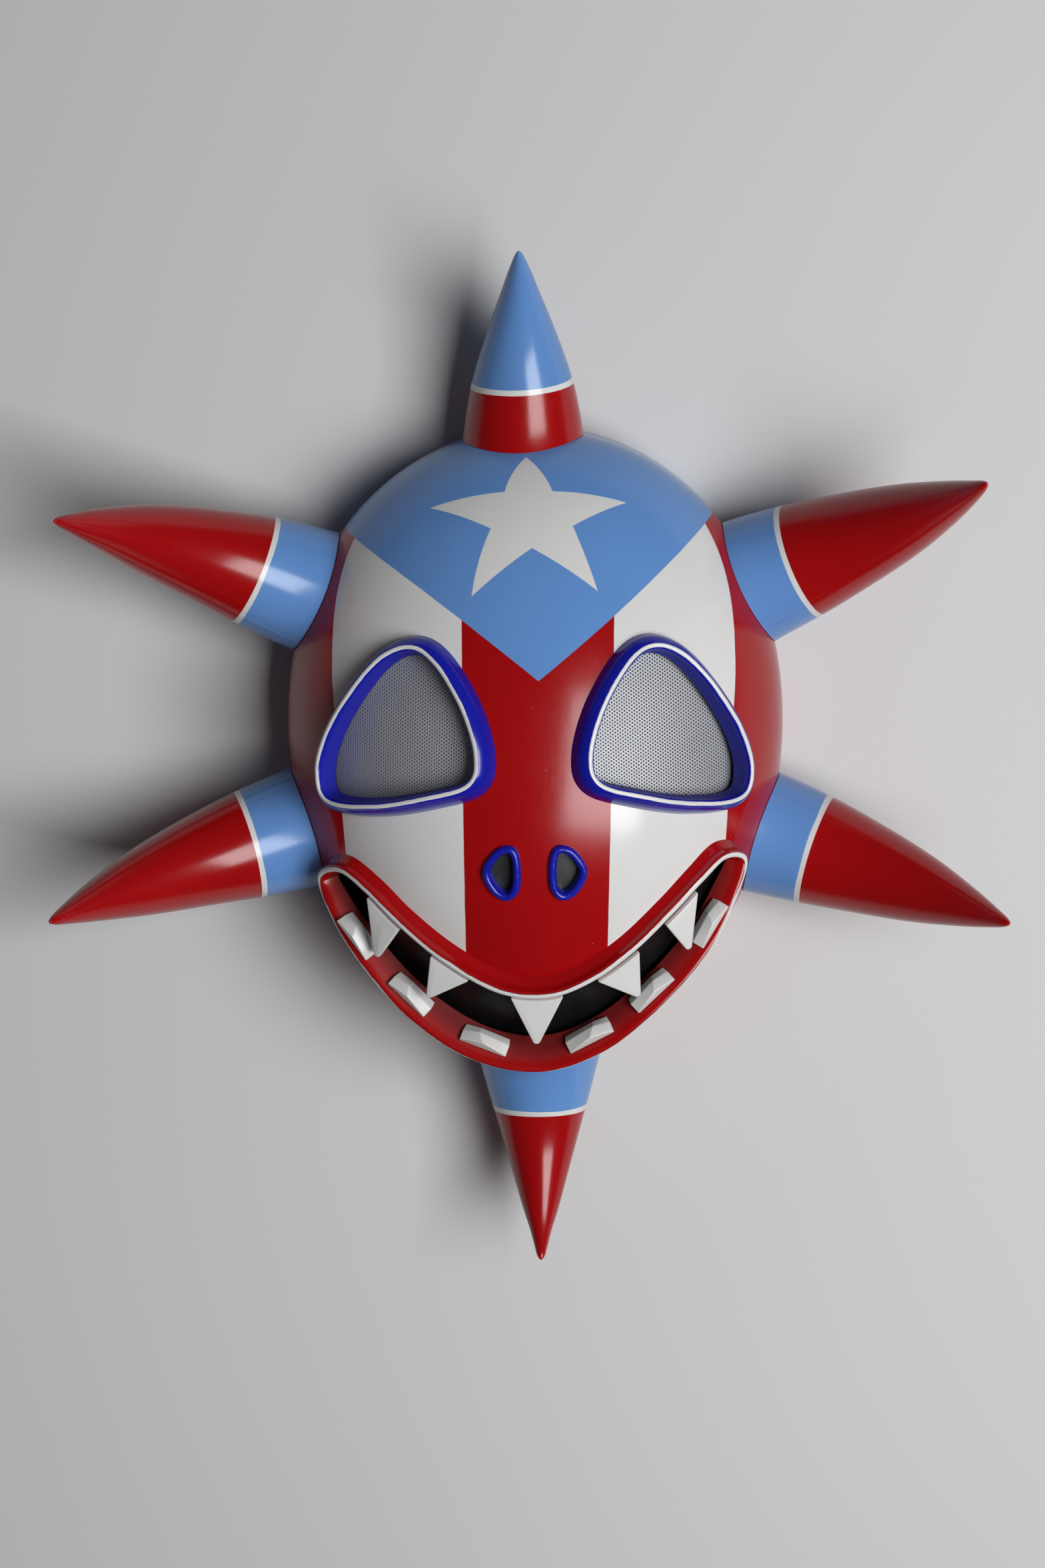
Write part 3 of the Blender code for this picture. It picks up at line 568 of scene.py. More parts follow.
class Wire:
    """A value on its way through a shader, so that a formula reads as a sum."""

    def __init__(self, tree, socket):
        self.tree = tree
        self.socket = socket

    def math(self, operation, *others):
        """The value put through one operation with the others."""
        node = self.tree.nodes.new("ShaderNodeMath")
        node.operation = operation
        for index, value in enumerate((self, *others)):
            feed(self.tree, node.inputs[index], value)
        return Wire(self.tree, node.outputs[0])

    def __add__(self, other):
        return self.math("ADD", other)

    __radd__ = __add__

    def __sub__(self, other):
        return self.math("SUBTRACT", other)

    def __rsub__(self, other):
        return (self * -1.0).math("ADD", other)

    def __mul__(self, other):
        return self.math("MULTIPLY", other)

    __rmul__ = __mul__

    def __truediv__(self, other):
        return self.math("DIVIDE", other)

    def size(self):
        """The value without its sign."""
        return self.math("ABSOLUTE")

    def least(self, other):
        """The smaller of the value and another."""
        return self.math("MINIMUM", other)

    def most(self, other):
        """The larger of the value and another."""
        return self.math("MAXIMUM", other)

    def over(self, edge, softness):
        """A mask that is one where the value is over the edge."""
        node = self.tree.nodes.new("ShaderNodeMapRange")
        node.interpolation_type = "SMOOTHSTEP"
        feed(self.tree, node.inputs["Value"], self - edge)
        node.inputs["From Min"].default_value = -softness
        node.inputs["From Max"].default_value = softness
        return Wire(self.tree, node.outputs["Result"])

    def under(self, edge, softness):
        """A mask that is one where the value is under the edge."""
        return 1.0 - self.over(edge, softness)


def feed(tree, socket, value):
    """Give a socket a wire or a plain value."""
    if isinstance(value, Wire):
        tree.links.new(value.socket, socket)
    elif socket.type == "RGBA":
        socket.default_value = (*value, 1.0)
    else:
        socket.default_value = value


def coordinates(tree):
    """The place on the piece, in the face's own frame."""
    node = tree.nodes.new("ShaderNodeTexCoord")
    return Wire(tree, node.outputs["Object"])


def vector_math(tree, operation, vector, constant, output="Vector"):
    """A place put through one operation with a fixed vector."""
    node = tree.nodes.new("ShaderNodeVectorMath")
    node.operation = operation
    feed(tree, node.inputs[0], vector)
    node.inputs[1].default_value = tuple(float(value) for value in constant)
    return Wire(tree, node.outputs[output])


def stretched(tree, vector, scale):
    """A place scaled by its own factor along each axis."""
    return vector_math(tree, "MULTIPLY", vector, scale)


def measured(tree, vector, way):
    """How far a place lies along a direction."""
    return vector_math(tree, "DOT_PRODUCT", vector, way, "Value")


def split(tree, vector):
    """The three parts of a place."""
    node = tree.nodes.new("ShaderNodeSeparateXYZ")
    feed(tree, node.inputs[0], vector)
    return [Wire(tree, node.outputs[axis]) for axis in "XYZ"]


def drawn_place(tree, place):
    """Where a place lies across and up the face, in the millimetres that the outlines are drawn in."""
    x, y, _ = split(tree, stretched(tree, place, (1 / MM, 1 / MM, 1 / MM)))
    return x, y


def noise(tree, vector, per_metre, detail=2.0, roughness=0.5):
    """Cloudy noise from zero to one."""
    node = tree.nodes.new("ShaderNodeTexNoise")
    feed(tree, node.inputs["Vector"], vector)
    node.inputs["Scale"].default_value = per_metre
    node.inputs["Detail"].default_value = detail
    node.inputs["Roughness"].default_value = roughness
    return Wire(tree, node.outputs["Fac"])


def wobble(tree, vector, per_metre, size):
    """Noise either side of zero, for edges that a hand has painted."""
    return (noise(tree, vector, per_metre) - 0.5) * size


def cells(tree, vector, per_metre):
    """Distance to the nearest of many scattered points, and that point's own random number."""
    node = tree.nodes.new("ShaderNodeTexVoronoi")
    feed(tree, node.inputs["Vector"], vector)
    node.inputs["Scale"].default_value = per_metre
    chance = split(tree, Wire(tree, node.outputs["Color"]))[0]
    return Wire(tree, node.outputs["Distance"]), chance


def stored(tree, label):
    """A number kept on the mesh's points."""
    node = tree.nodes.new("ShaderNodeAttribute")
    node.attribute_name = label
    return Wire(tree, node.outputs["Fac"])


def blend(tree, mask, under, over):
    """One colour over another by a mask."""
    node = tree.nodes.new("ShaderNodeMix")
    node.data_type = "RGBA"
    feed(tree, node.inputs["Factor"], mask)
    colour_ends = [socket for socket in node.inputs if socket.type == "RGBA"]
    feed(tree, colour_ends[0], under)
    feed(tree, colour_ends[1], over)
    return Wire(tree, next(socket for socket in node.outputs if socket.type == "RGBA"))


def shade(tree, colour, factor):
    """A colour made lighter or darker by a factor."""
    node = tree.nodes.new("ShaderNodeVectorMath")
    node.operation = "SCALE"
    feed(tree, node.inputs[0], colour)
    feed(tree, node.inputs["Scale"], factor)
    return Wire(tree, node.outputs["Vector"])


def mottled(tree, colour, cloud, amount):
    """A colour made a little lighter and darker by noise."""
    return shade(tree, colour, 1.0 - amount / 2 + cloud * amount)


def new_group(name, inputs, outputs):
    """An empty shader group with named sockets, and its input and output ends."""
    group = bpy.data.node_groups.new(name, "ShaderNodeTree")
    kinds = {"number": "NodeSocketFloat", "colour": "NodeSocketColor"}
    for label, kind in inputs.items():
        group.interface.new_socket(label, in_out="INPUT", socket_type=kinds[kind])
    for label, kind in outputs.items():
        group.interface.new_socket(label, in_out="OUTPUT", socket_type=kinds[kind])
    start = group.nodes.new("NodeGroupInput")
    end = group.nodes.new("NodeGroupOutput")
    wires = {label: Wire(group, start.outputs[label]) for label in inputs}
    return group, wires, end


def use_group(tree, group, **values):
    """Place a group in a shader, and give back its outputs by name."""
    node = tree.nodes.new("ShaderNodeGroup")
    node.node_tree = group
    for label, value in values.items():
        feed(tree, node.inputs[label.replace("_", " ")], value)
    return {socket.name: Wire(tree, socket) for socket in node.outputs}


# Shared finishes

def make_enamel_group():
    """Brushed enamel over papier mache: slow dents, faint brush marks, dust specks and uneven gloss."""
    group, given, end = new_group(
        "brushed enamel",
        {"Colour": "colour", "Gloss": "number", "Dents": "number"},
        {"Colour": "colour", "Roughness": "number", "Height": "number"})
    place = coordinates(group)
    cloud = noise(group, place, per_metre=22.0, detail=3.0)
    streak = noise(group, stretched(group, place, (1.0, 0.25, 1.0)), per_metre=420.0)
    grain = noise(group, place, per_metre=1500.0, detail=1.0)
    gap, chance = cells(group, place, per_metre=130.0)
    speck = gap.under(0.030, softness=0.012) * chance.over(0.80, softness=0.02)
    painted = mottled(group, given["Colour"], cloud, amount=0.10)
    rough = given["Gloss"] + (cloud - 0.5) * DENT_GLOSS + (streak - 0.5) * BRUSH_GLOSS
    height = cloud * given["Dents"] + streak * BRUSH_RELIEF + grain * GRAIN_RELIEF + speck * SPECK_RELIEF
    feed(group, end.inputs["Colour"], blend(group, speck * SPECK_PALENESS, painted, DUST))
    feed(group, end.inputs["Roughness"], rough)
    feed(group, end.inputs["Height"], height)
    return group


def make_line_group():
    """A hand-painted line along a rim: its mask, and a thin strip of painted shade beside it."""
    group, given, end = new_group(
        "painted line",
        {"Across": "number", "Half width": "number"},
        {"Line": "number", "Shade edge": "number"})
    place = coordinates(group)
    drift = wobble(group, place, per_metre=60.0, size=LINE_DRIFT)
    ragged = wobble(group, place, per_metre=420.0, size=LINE_RAGGEDNESS)
    beyond = (given["Across"] + drift).size() + ragged - given["Half width"]
    feed(group, end.inputs["Line"], beyond.under(0.0, softness=0.10))
    # The edge is painted shade: a thin dark strip beside the line, where the crest rounds away
    feed(group, end.inputs["Shade edge"], (beyond - SHADE_EDGE_WIDTH).under(0.0, softness=0.20))
    return group


def from_dome_middle(point):
    """The way from the dome's middle to a drawn point on the dome."""
    return on_dome(point[0] * MM, point[1] * MM) - DOME_MIDDLE


def make_flag_group():
    """The flag pattern: a blue triangle with a white star, a red middle and white stripes beside it."""
    group, _, end = new_group("flag pattern", {}, {"Colour": "colour"})
    place = coordinates(group)
    waver = wobble(group, place, per_metre=60.0, size=0.5)
    x, y = drawn_place(group, place)

    run = (x - TRIANGLE_TIP[0]).size()
    on_right = x.over(TRIANGLE_TIP[0], softness=0.01)
    slope = TRIANGLE_LEFT[0] + on_right * (TRIANGLE_RIGHT[0] - TRIANGLE_LEFT[0])
    bend = TRIANGLE_LEFT[1] + on_right * (TRIANGLE_RIGHT[1] - TRIANGLE_LEFT[1])
    triangle = (y + waver - run * slope - run * run * bend).over(TRIANGLE_TIP[1], PAINT_SOFTNESS)

    stripe_right = CENTRE_STRIPE_RIGHT + (y - CENTRE_STRIPE_FLARE_FROM) * CENTRE_STRIPE_FLARE
    below = (WHITE_STRIPE_FROM - y).most(0.0)
    above = (y - WHITE_STRIPE_FROM).most(0.0)
    reach = WHITE_STRIPE_REACH - below * WHITE_STRIPE_TAPER - above * above * above * WHITE_STRIPE_CURVE
    in_reach = (reach - x.size() + waver).over(0.0, PAINT_SOFTNESS)
    on_left = (x + waver).under(CENTRE_STRIPE_LEFT, PAINT_SOFTNESS)
    beside = on_left.most((x - stripe_right + waver).over(0.0, PAINT_SOFTNESS))
    along = (x - CHIN_MIDDLE[0]) / CHIN_CORNER[0]
    above_chin = (y - along * along * CHIN_CORNER[1]).over(CHIN_MIDDLE[1], PAINT_SOFTNESS)
    stripes = in_reach * beside * above_chin

    star = star_mask(group, place, waver)
    colour = blend(group, stripes, RED, WHITE)
    colour = blend(group, triangle, colour, SKY)
    colour = blend(group, star, colour, WHITE)
    feed(group, end.inputs["Colour"], colour)
    return group


def star_mask(tree, place, waver):
    """The star as five arms, each bounded by planes through the dome's middle."""
    from_middle = vector_math(tree, "SUBTRACT", place, DOME_MIDDLE)
    centre = np.mean([point[:2] for point in STAR], axis=0)

    def side_of(first, second, inside, bow=0.0):
        """Distance in millimetres on the inner side of a line on the dome."""
        ends = [from_dome_middle(point) for point in (first, second)]
        normal = unit(np.cross(*ends))
        normal *= math.copysign(1.0, from_dome_middle(inside) @ normal)
        distance = measured(tree, from_middle, normal) * (1 / MM)
        if bow:
            way = unit(ends[1] - ends[0])
            half = float(np.linalg.norm(ends[1] - ends[0]) / 2)
            halfway = float((ends[0] + ends[1]) @ way / 2)
            run = (measured(tree, from_middle, way) - halfway) / half
            distance = distance + (1.0 - run * run).most(0.0) * bow
        return distance

    mask = None
    for index in range(0, len(STAR), 2):
        before, tip, after = (STAR[(index + step) % len(STAR)] for step in (-1, 0, 1))
        arm = side_of(before, tip, centre, before[2]).least(side_of(tip, after, centre, tip[2]))
        for corner in (before, after):
            arm = arm.least(side_of(centre, corner, tip) + STAR_OVERLAP)
        part = (arm + waver * 0.5).over(0.0, PAINT_SOFTNESS)
        mask = part if mask is None else mask.most(part)
    return mask


ENAMEL = make_enamel_group()
LINE = make_line_group()
FLAG = make_flag_group()


def new_material(name):
    """A material with its node tree and Principled BSDF."""
    material = bpy.data.materials.new(name)
    material.use_nodes = True
    tree = material.node_tree
    return material, tree, tree.nodes["Principled BSDF"]


def bump_from(tree, shader, height):
    """Give the shader a relief, from heights in millimetres."""
    node = tree.nodes.new("ShaderNodeBump")
    node.inputs["Strength"].default_value = 1.0
    node.inputs["Distance"].default_value = MM
    feed(tree, node.inputs["Height"], height)
    tree.links.new(node.outputs["Normal"], shader.inputs["Normal"])


def enamelled(tree, shader, colour, gloss=0.185, dents=0.10, dulled=0.0):
    """Finish a shader as brushed enamel in a painted colour, less shiny where it is dulled."""
    coat = use_group(tree, ENAMEL, Colour=colour, Gloss=gloss, Dents=dents)
    feed(tree, shader.inputs["Base Color"], coat["Colour"])
    feed(tree, shader.inputs["Roughness"], coat["Roughness"] + dulled * DULLING)
    shader.inputs["Specular IOR Level"].default_value = SHINE
    bump_from(tree, shader, coat["Height"])


def face_enamel():
    """Enamel with the flag pattern."""
    material, tree, shader = new_material("face enamel")
    enamelled(tree, shader, use_group(tree, FLAG)["Colour"])
    return material


def rim_enamel():
    """Glossy royal blue, duller inside, with a white line along the crest."""
    material, tree, shader = new_material("rim enamel")
    across = stored(tree, "across")
    line = use_group(tree, LINE, Across=across, Half_width=RIM_LINE_HALF_WIDTH)
    colour = blend(tree, line["Line"], ROYAL, WHITE)
    enamelled(tree, shader, colour, gloss=0.18, dents=0.12, dulled=across.under(*RIM_DULL))
    return material


def bead_enamel():
    """Glossy royal blue without a line."""
    material, tree, shader = new_material("nostril enamel")
    enamelled(tree, shader, ROYAL, gloss=0.24)
    return material


def lip_enamel():
    """Red, dull inside and darkened there by painted shade, with a white line along the crest and a thin
    strip of painted shade beside it.
    """
    material, tree, shader = new_material("lip enamel")
    across = stored(tree, "across")
    line = use_group(tree, LINE, Across=across, Half_width=LIP_LINE_HALF_WIDTH)
    # Painted shade: the red darkens down the lip's inner wall towards the mouth
    red = shade(tree, RED, 1.0 - across.under(*LIP_PAINTED_SHADE) * LIP_SHADE_STRENGTH)
    # Painted shade: a thin dark strip beside the white line, where the crest rounds away
    colour = blend(tree, line["Shade edge"], red, SHADE_EDGE_BROWN)
    colour = blend(tree, line["Line"], colour, WHITE)
    enamelled(tree, shader, colour, gloss=0.19, dents=0.15, dulled=across.under(*LIP_DULL))
    return material


def horn_enamel(name, band, cone):
    """A band at the base, a white ring, and the cone's colour, by the distance past the ring."""
    material, tree, shader = new_material(name)
    past = stored(tree, "past_ring")
    place = coordinates(tree)
    drift = wobble(tree, place, per_metre=45.0, size=LINE_DRIFT)
    ragged = wobble(tree, place, per_metre=350.0, size=RING_RAGGEDNESS)
    colour = blend(tree, past.over(0.0, softness=0.1), cone, band)
    cone_edge = (past + ragged * RING_CONE_RAGGEDNESS).over(RING_EDGES[0], PAINT_SOFTNESS)
    band_edge = (past + drift + ragged).under(RING_EDGES[1], PAINT_SOFTNESS)
    enamelled(tree, shader, blend(tree, cone_edge * band_edge, colour, WHITE), gloss=0.20)
    return material


def tooth_enamel():
    """White enamel, a little uneven, greyer in places at random."""
    material, tree, shader = new_material("tooth enamel")
    cloud = noise(tree, coordinates(tree), per_metre=160.0, detail=3.0)
    colour = blend(tree, cloud * 0.5, WHITE, TOOTH_SHADE)
    enamelled(tree, shader, colour, gloss=0.30, dents=0.25)
    return material


def sheet_metal():
    """Bare aluminium, dulled and lightly streaked."""
    material, tree, shader = new_material("perforated aluminium")
    shader.inputs["Metallic"].default_value = 0.5
    place = coordinates(tree)
    cloud = noise(tree, place, per_metre=60.0, detail=3.0)
    streak = noise(tree, stretched(tree, place, (1.0, 0.1, 1.0)), per_metre=900.0)
    feed(tree, shader.inputs["Base Color"], mottled(tree, METAL, cloud, amount=0.16))
    feed(tree, shader.inputs["Roughness"], 0.54 + cloud * 0.10 + streak * 0.05)
    bump_from(tree, shader, streak * 0.02)
    return material


def screen_paint():
    """Satin black backing, with painted light in grey behind the nostrils."""
    material, tree, shader = new_material("black backing")
    place = coordinates(tree)
    cloud = noise(tree, place, per_metre=90.0, detail=3.0)
    x, y = drawn_place(tree, place)
    # Painted light: the backing is lighter grey where light comes in through the nostrils
    lit_behind_nose = x.size().under(LIT_PATCH_HALF_WIDTH, LIT_PATCH_SOFTNESS) * y.over(LIT_PATCH_LOW_EDGE, LIT_PATCH_SOFTNESS)
    colour = blend(tree, lit_behind_nose, BLACK, NOSTRIL_PAINTED_LIGHT)
    feed(tree, shader.inputs["Base Color"], mottled(tree, colour, cloud, amount=0.6))
    feed(tree, shader.inputs["Roughness"], 0.34 + cloud * 0.14)
    bump_from(tree, shader, cloud * 0.15)
    return material


def raw_paper():
    """The bare inside: torn paper strips laid over each other in paste."""
    material, tree, shader = new_material("raw paper")
    shader.inputs["Roughness"].default_value = 0.85
    place = coordinates(tree)
    warp = noise(tree, place, per_metre=30.0, detail=3.0)
    gap, chance = cells(tree, stretched(tree, place, (1.0, 0.35, 1.0)), per_metre=75.0)
    fibre = noise(tree, place, per_metre=700.0, detail=4.0, roughness=0.7)
    colour = blend(tree, chance * 0.45 + warp * 0.35 + fibre * 0.2, PAPER_DARK, PAPER)
    feed(tree, shader.inputs["Base Color"], colour)
    bump_from(tree, shader, chance * 0.25 + gap * 0.2 + fibre * 0.12 + warp * 0.8)
    return material


# Pieces

def shell_layers():
    """The outer and the inner layer of the shell as rings of points, each with its skirt."""
    turns = 2 * math.pi * np.arange(SHELL_SIDES) / SHELL_SIDES
    outer = [dome_ring(math.pi / 2 * (ring + 1) / SHELL_RINGS, turns) for ring in range(SHELL_RINGS)]
    inner = [ring - dome_normal(ring) * SHELL_WALL for ring in outer]
    for layer in (outer, inner):
        edge = layer[-1]
        for height in SKIRT_STOPS:
            layer.append(np.column_stack([edge[:, 0], edge[:, 1], np.full(SHELL_SIDES, height)]))
    return np.array(outer), np.array(inner)


def make_shell(materials):
    """The hollow face with its holes cut through."""
    outer, inner = shell_layers()
    crown = dome_ring(0.0, np.array([0.0]))
    points = np.concatenate([crown, crown - dome_normal(crown) * SHELL_WALL,
                             outer.reshape(-1, 3), inner.reshape(-1, 3)])
    rings = len(outer)

    def at(layer, ring, side):
        return 2 + (layer * rings + ring) * SHELL_SIDES + side % SHELL_SIDES

    faces = []
    last = rings - 1
    for side in range(SHELL_SIDES):
        for layer in (0, 1):
            faces.append((layer, at(layer, 0, side), at(layer, 0, side + 1)))
            for ring in range(last):
                faces.append((at(layer, ring, side), at(layer, ring + 1, side),
                              at(layer, ring + 1, side + 1), at(layer, ring, side + 1)))
        faces.append((at(0, last, side), at(1, last, side), at(1, last, side + 1), at(0, last, side + 1)))
    shell = add_object("painted_face", points, faces, materials)
    plugs = shell_plugs()
    for plug in plugs:
        cut = shell.modifiers.new("cut", "BOOLEAN")
        cut.operation = "DIFFERENCE"
        cut.object = plug
    apply_modifiers(shell)
    for plug in plugs:
        bpy.data.objects.remove(plug, do_unlink=True)
    paint_inside(shell)
    shade_round(shell)
    return shell


def shell_plugs():
    """Straight-sided blocks that cut the holes for the eyes, the nostrils and the mouth."""
    plugs = []
    for side in (-1, 1):
        eye = placed_loop(mirrored(EYE_OUTLINE, side), EYE_HOLE_STEPS)
        plugs.append(make_plug("eye_plug", inset_loop(eye, EYE_RIM_INNER_FOOT - EYE_HOLE_COVER)))
        nostril = placed_loop(mirrored(NOSTRIL_OUTLINE, side), NOSTRIL_HOLE_STEPS)
        plugs.append(make_plug("nostril_plug", inset_loop(nostril, NOSTRIL_BEAD_WIDTH / 2 - HOLE_COVER)))
    mouth = placed_loop(LIP_OUTLINE, MOUTH_HOLE_STEPS)
    plugs.append(make_plug("mouth_plug", inset_loop(mouth, LIP_INNER_FOOT - HOLE_COVER)))
    return plugs


def hole_way():
    """The way out along the sides of every hole in the shell."""
    return np.array([0.0, math.sin(HOLE_LIFT), math.cos(HOLE_LIFT)])


def make_plug(name, edge):
    """A straight-sided block used to cut a hole whose edge is given."""
    heights = edge @ hole_way()
    points = []
    for level in (heights.min() - CUT_BELOW, heights.max() + CUT_ABOVE):
        points.extend(edge + np.outer(level - heights, hole_way()))
    return add_object(name, points, stack_faces(len(edge), 2), [])


def paint_inside(shell):
    """Leave the faces away from the outer surface as raw paper."""
    mesh = shell.data
    centres = np.empty(len(mesh.polygons) * 3)
    mesh.polygons.foreach_get("center", centres)
    outer = fullness(centres.reshape(-1, 3)) > INSIDE_BELOW
    mesh.polygons.foreach_set("material_index", np.where(outer, 0, 1).astype(np.int32))


def collar_sections(loop, up, foot, inner_foot, crest_width, swell_out, depth):
    """Smooth sections of a collar round an opening, with a sleeve that runs down through the shell."""
    places, normals, outward = loop_frames(loop)
    up = np.broadcast_to(normals if up is None else up, places.shape)
    aside = unit(outward - up * dot(outward, up))
    rise = up * loop[:, 2:3]
    half = crest_width / 2
    outer_foot = places + outward * foot
    inner = places - outward * inner_foot
    corners = np.stack([
        on_dome(outer_foot[:, 0], outer_foot[:, 1], SEAT_GAP),
        places + rise * WAIST_SHARE + aside * ((foot + half) / 2 + swell_out),
        places + rise * SHOULDER_SHARE + aside * half,
        places + rise,
        places + rise * SHOULDER_SHARE - aside * half,
        places + rise * WAIST_SHARE - aside * (inner_foot + half) / 2,
        on_dome(inner[:, 0], inner[:, 1], SEAT_GAP),
    ], axis=1)
    curve = smooth_chain(corners, SECTION_STEPS)
    crest = CREST_CORNER * SECTION_STEPS
    lengths = np.linalg.norm(np.diff(curve, axis=1), axis=2)
    run = np.concatenate([np.zeros((len(curve), 1)), np.cumsum(lengths, axis=1)], axis=1)
    across = run[:, crest:crest + 1] - run
    down = hole_way() * depth / dot(normals, hole_way())
    low_inner = corners[:, -1] - down
    low_outer = low_inner + outward * SLEEVE_WALL
    high_outer = corners[:, -1] + outward * SLEEVE_WALL - normals * SLEEVE_GAP
    sleeve = np.stack([low_inner, low_outer, high_outer], axis=1)
    sections = np.concatenate([curve, sleeve], axis=1)
    beyond = np.repeat(across[:, -1:] - SLEEVE_ACROSS, sleeve.shape[1], axis=1)
    return sections, np.concatenate([across, beyond], axis=1) / MM


def make_collar(name, sections, across, material):
    """A closed ring through equal sections, with the distance across from the crest on its points."""
    steps, corners, _ = sections.shape
    faces = []
    for step in range(steps):
        following = (step + 1) % steps
        for corner in range(corners):
            beside = (corner + 1) % corners
            faces.append((step * corners + corner, step * corners + beside,
                          following * corners + beside, following * corners + corner))
    collar = add_object(name, sections.reshape(-1, 3), faces, [material], {"across": across})
    shade_round(collar, RIM_SHARP_ANGLE)
    return collar


def make_eye_rim(side, word, material):
    """The blue collar round an eye."""
    loop = placed_loop(mirrored(EYE_OUTLINE, side), EYE_STEPS)
    loop[:, 2] += uneven(EYE_STEPS, RIM_UNEVENNESS, EYE_SEED + side)
    sections, across = collar_sections(loop, eye_direction(side), EYE_RIM_OUTER_FOOT, EYE_RIM_INNER_FOOT,
                                       EYE_RIM_CREST, EYE_RIM_ROUNDING, SHELL_WALL)
    return make_collar(f"eye_collar_{word}", sections, across, material)


def make_lip(material):
    """The red collar round the mouth, with a hollowed outer side."""
    loop = placed_loop(LIP_OUTLINE, LIP_STEPS)
    loop[:, 2] += uneven(LIP_STEPS, RIM_UNEVENNESS, LIP_SEED)
    sections, across = collar_sections(loop, None, LIP_OUTER_FOOT, LIP_INNER_FOOT,
                                       LIP_CREST, -LIP_COVE, SHELL_WALL)
    downward = -loop_frames(loop)[2][:, 1:2]
    across -= LOWER_LINE_SHIFT * np.clip((downward - LOWER_LINE_FROM) / LOWER_LINE_OVER, 0.0, 1.0)
    return make_collar("painted_lip", sections, across, material)


def make_nostril_bead(side, word, material):
    """The blue bead round a nostril, laid by hand, with paint down into the hole."""
    loop = placed_loop(mirrored(NOSTRIL_OUTLINE, side), NOSTRIL_STEPS)
    places, normals, outward = loop_frames(loop)
    wider = uneven(NOSTRIL_STEPS, BEAD_UNEVENNESS, BEAD_WIDTH_SEED + side)[:, None]
    higher = uneven(NOSTRIL_STEPS, BEAD_UNEVENNESS, BEAD_HEIGHT_SEED + side)[:, None]
    half = NOSTRIL_BEAD_WIDTH / 2 * (1.0 + wider)
    height = NOSTRIL_BEAD_HEIGHT * (1.0 + higher)
    points = []
    for angle in np.linspace(0.0, math.pi, NOSTRIL_ARCH_STEPS + 1):
        rise = SEAT_GAP + height * math.sin(angle)**NOSTRIL_ARCH_POWER
        points.append(places + outward * half * math.cos(angle) + normals * rise)
    low_inner = places - outward * half - normals * SHELL_WALL
    low_outer = low_inner + outward * SLEEVE_WALL * NOSTRIL_SLEEVE_SHARE
    high_outer = places - outward * (half - SLEEVE_WALL * NOSTRIL_SLEEVE_SHARE) - normals * SLEEVE_GAP
    points += [low_inner, low_outer, high_outer]
    sections = np.stack(points, axis=1)
    return make_collar(f"nostril_bead_{word}", sections, np.zeros(sections.shape[:2]), material)


def inside_outline(centres, outline, border):
    """Which centres lie inside a closed outline, at least the border's width from it."""
    ahead = np.roll(outline, -1, axis=0)
    side = ahead - outline
    to_centre = centres[:, None] - outline[None]
    along = np.clip(np.sum(to_centre * side, axis=2) / np.sum(side * side, axis=1), 0.0, 1.0)
    distance = np.linalg.norm(to_centre - along[..., None] * side, axis=2).min(axis=1)
    spans = (outline[None, :, 1] > centres[:, None, 1]) != (ahead[None, :, 1] > centres[:, None, 1])
    with np.errstate(divide="ignore", invalid="ignore"):
        cross = outline[:, 0] + to_centre[..., 1] / side[:, 1] * side[:, 0]
    hits = np.sum(spans & (centres[:, None, 0] < cross), axis=1)
    return (hits % 2 == 1) & (distance > border)


def hole_centres(outline):
    """Centres of the staggered holes that fit inside an outline."""
    low, high = outline.min(axis=0), outline.max(axis=0)
    centres = []
    for column in range(int(low[0] / HOLE_COLUMN), int(high[0] / HOLE_COLUMN) + 1):
        stagger = HOLE_PITCH / 2 if column % 2 else 0.0
        for row in range(int(low[1] / HOLE_PITCH) - 1, int(high[1] / HOLE_PITCH) + 2):
            centres.append((column * HOLE_COLUMN, row * HOLE_PITCH + stagger))
    centres = np.array(centres)
    return centres[inside_outline(centres, outline, SHEET_BORDER)]


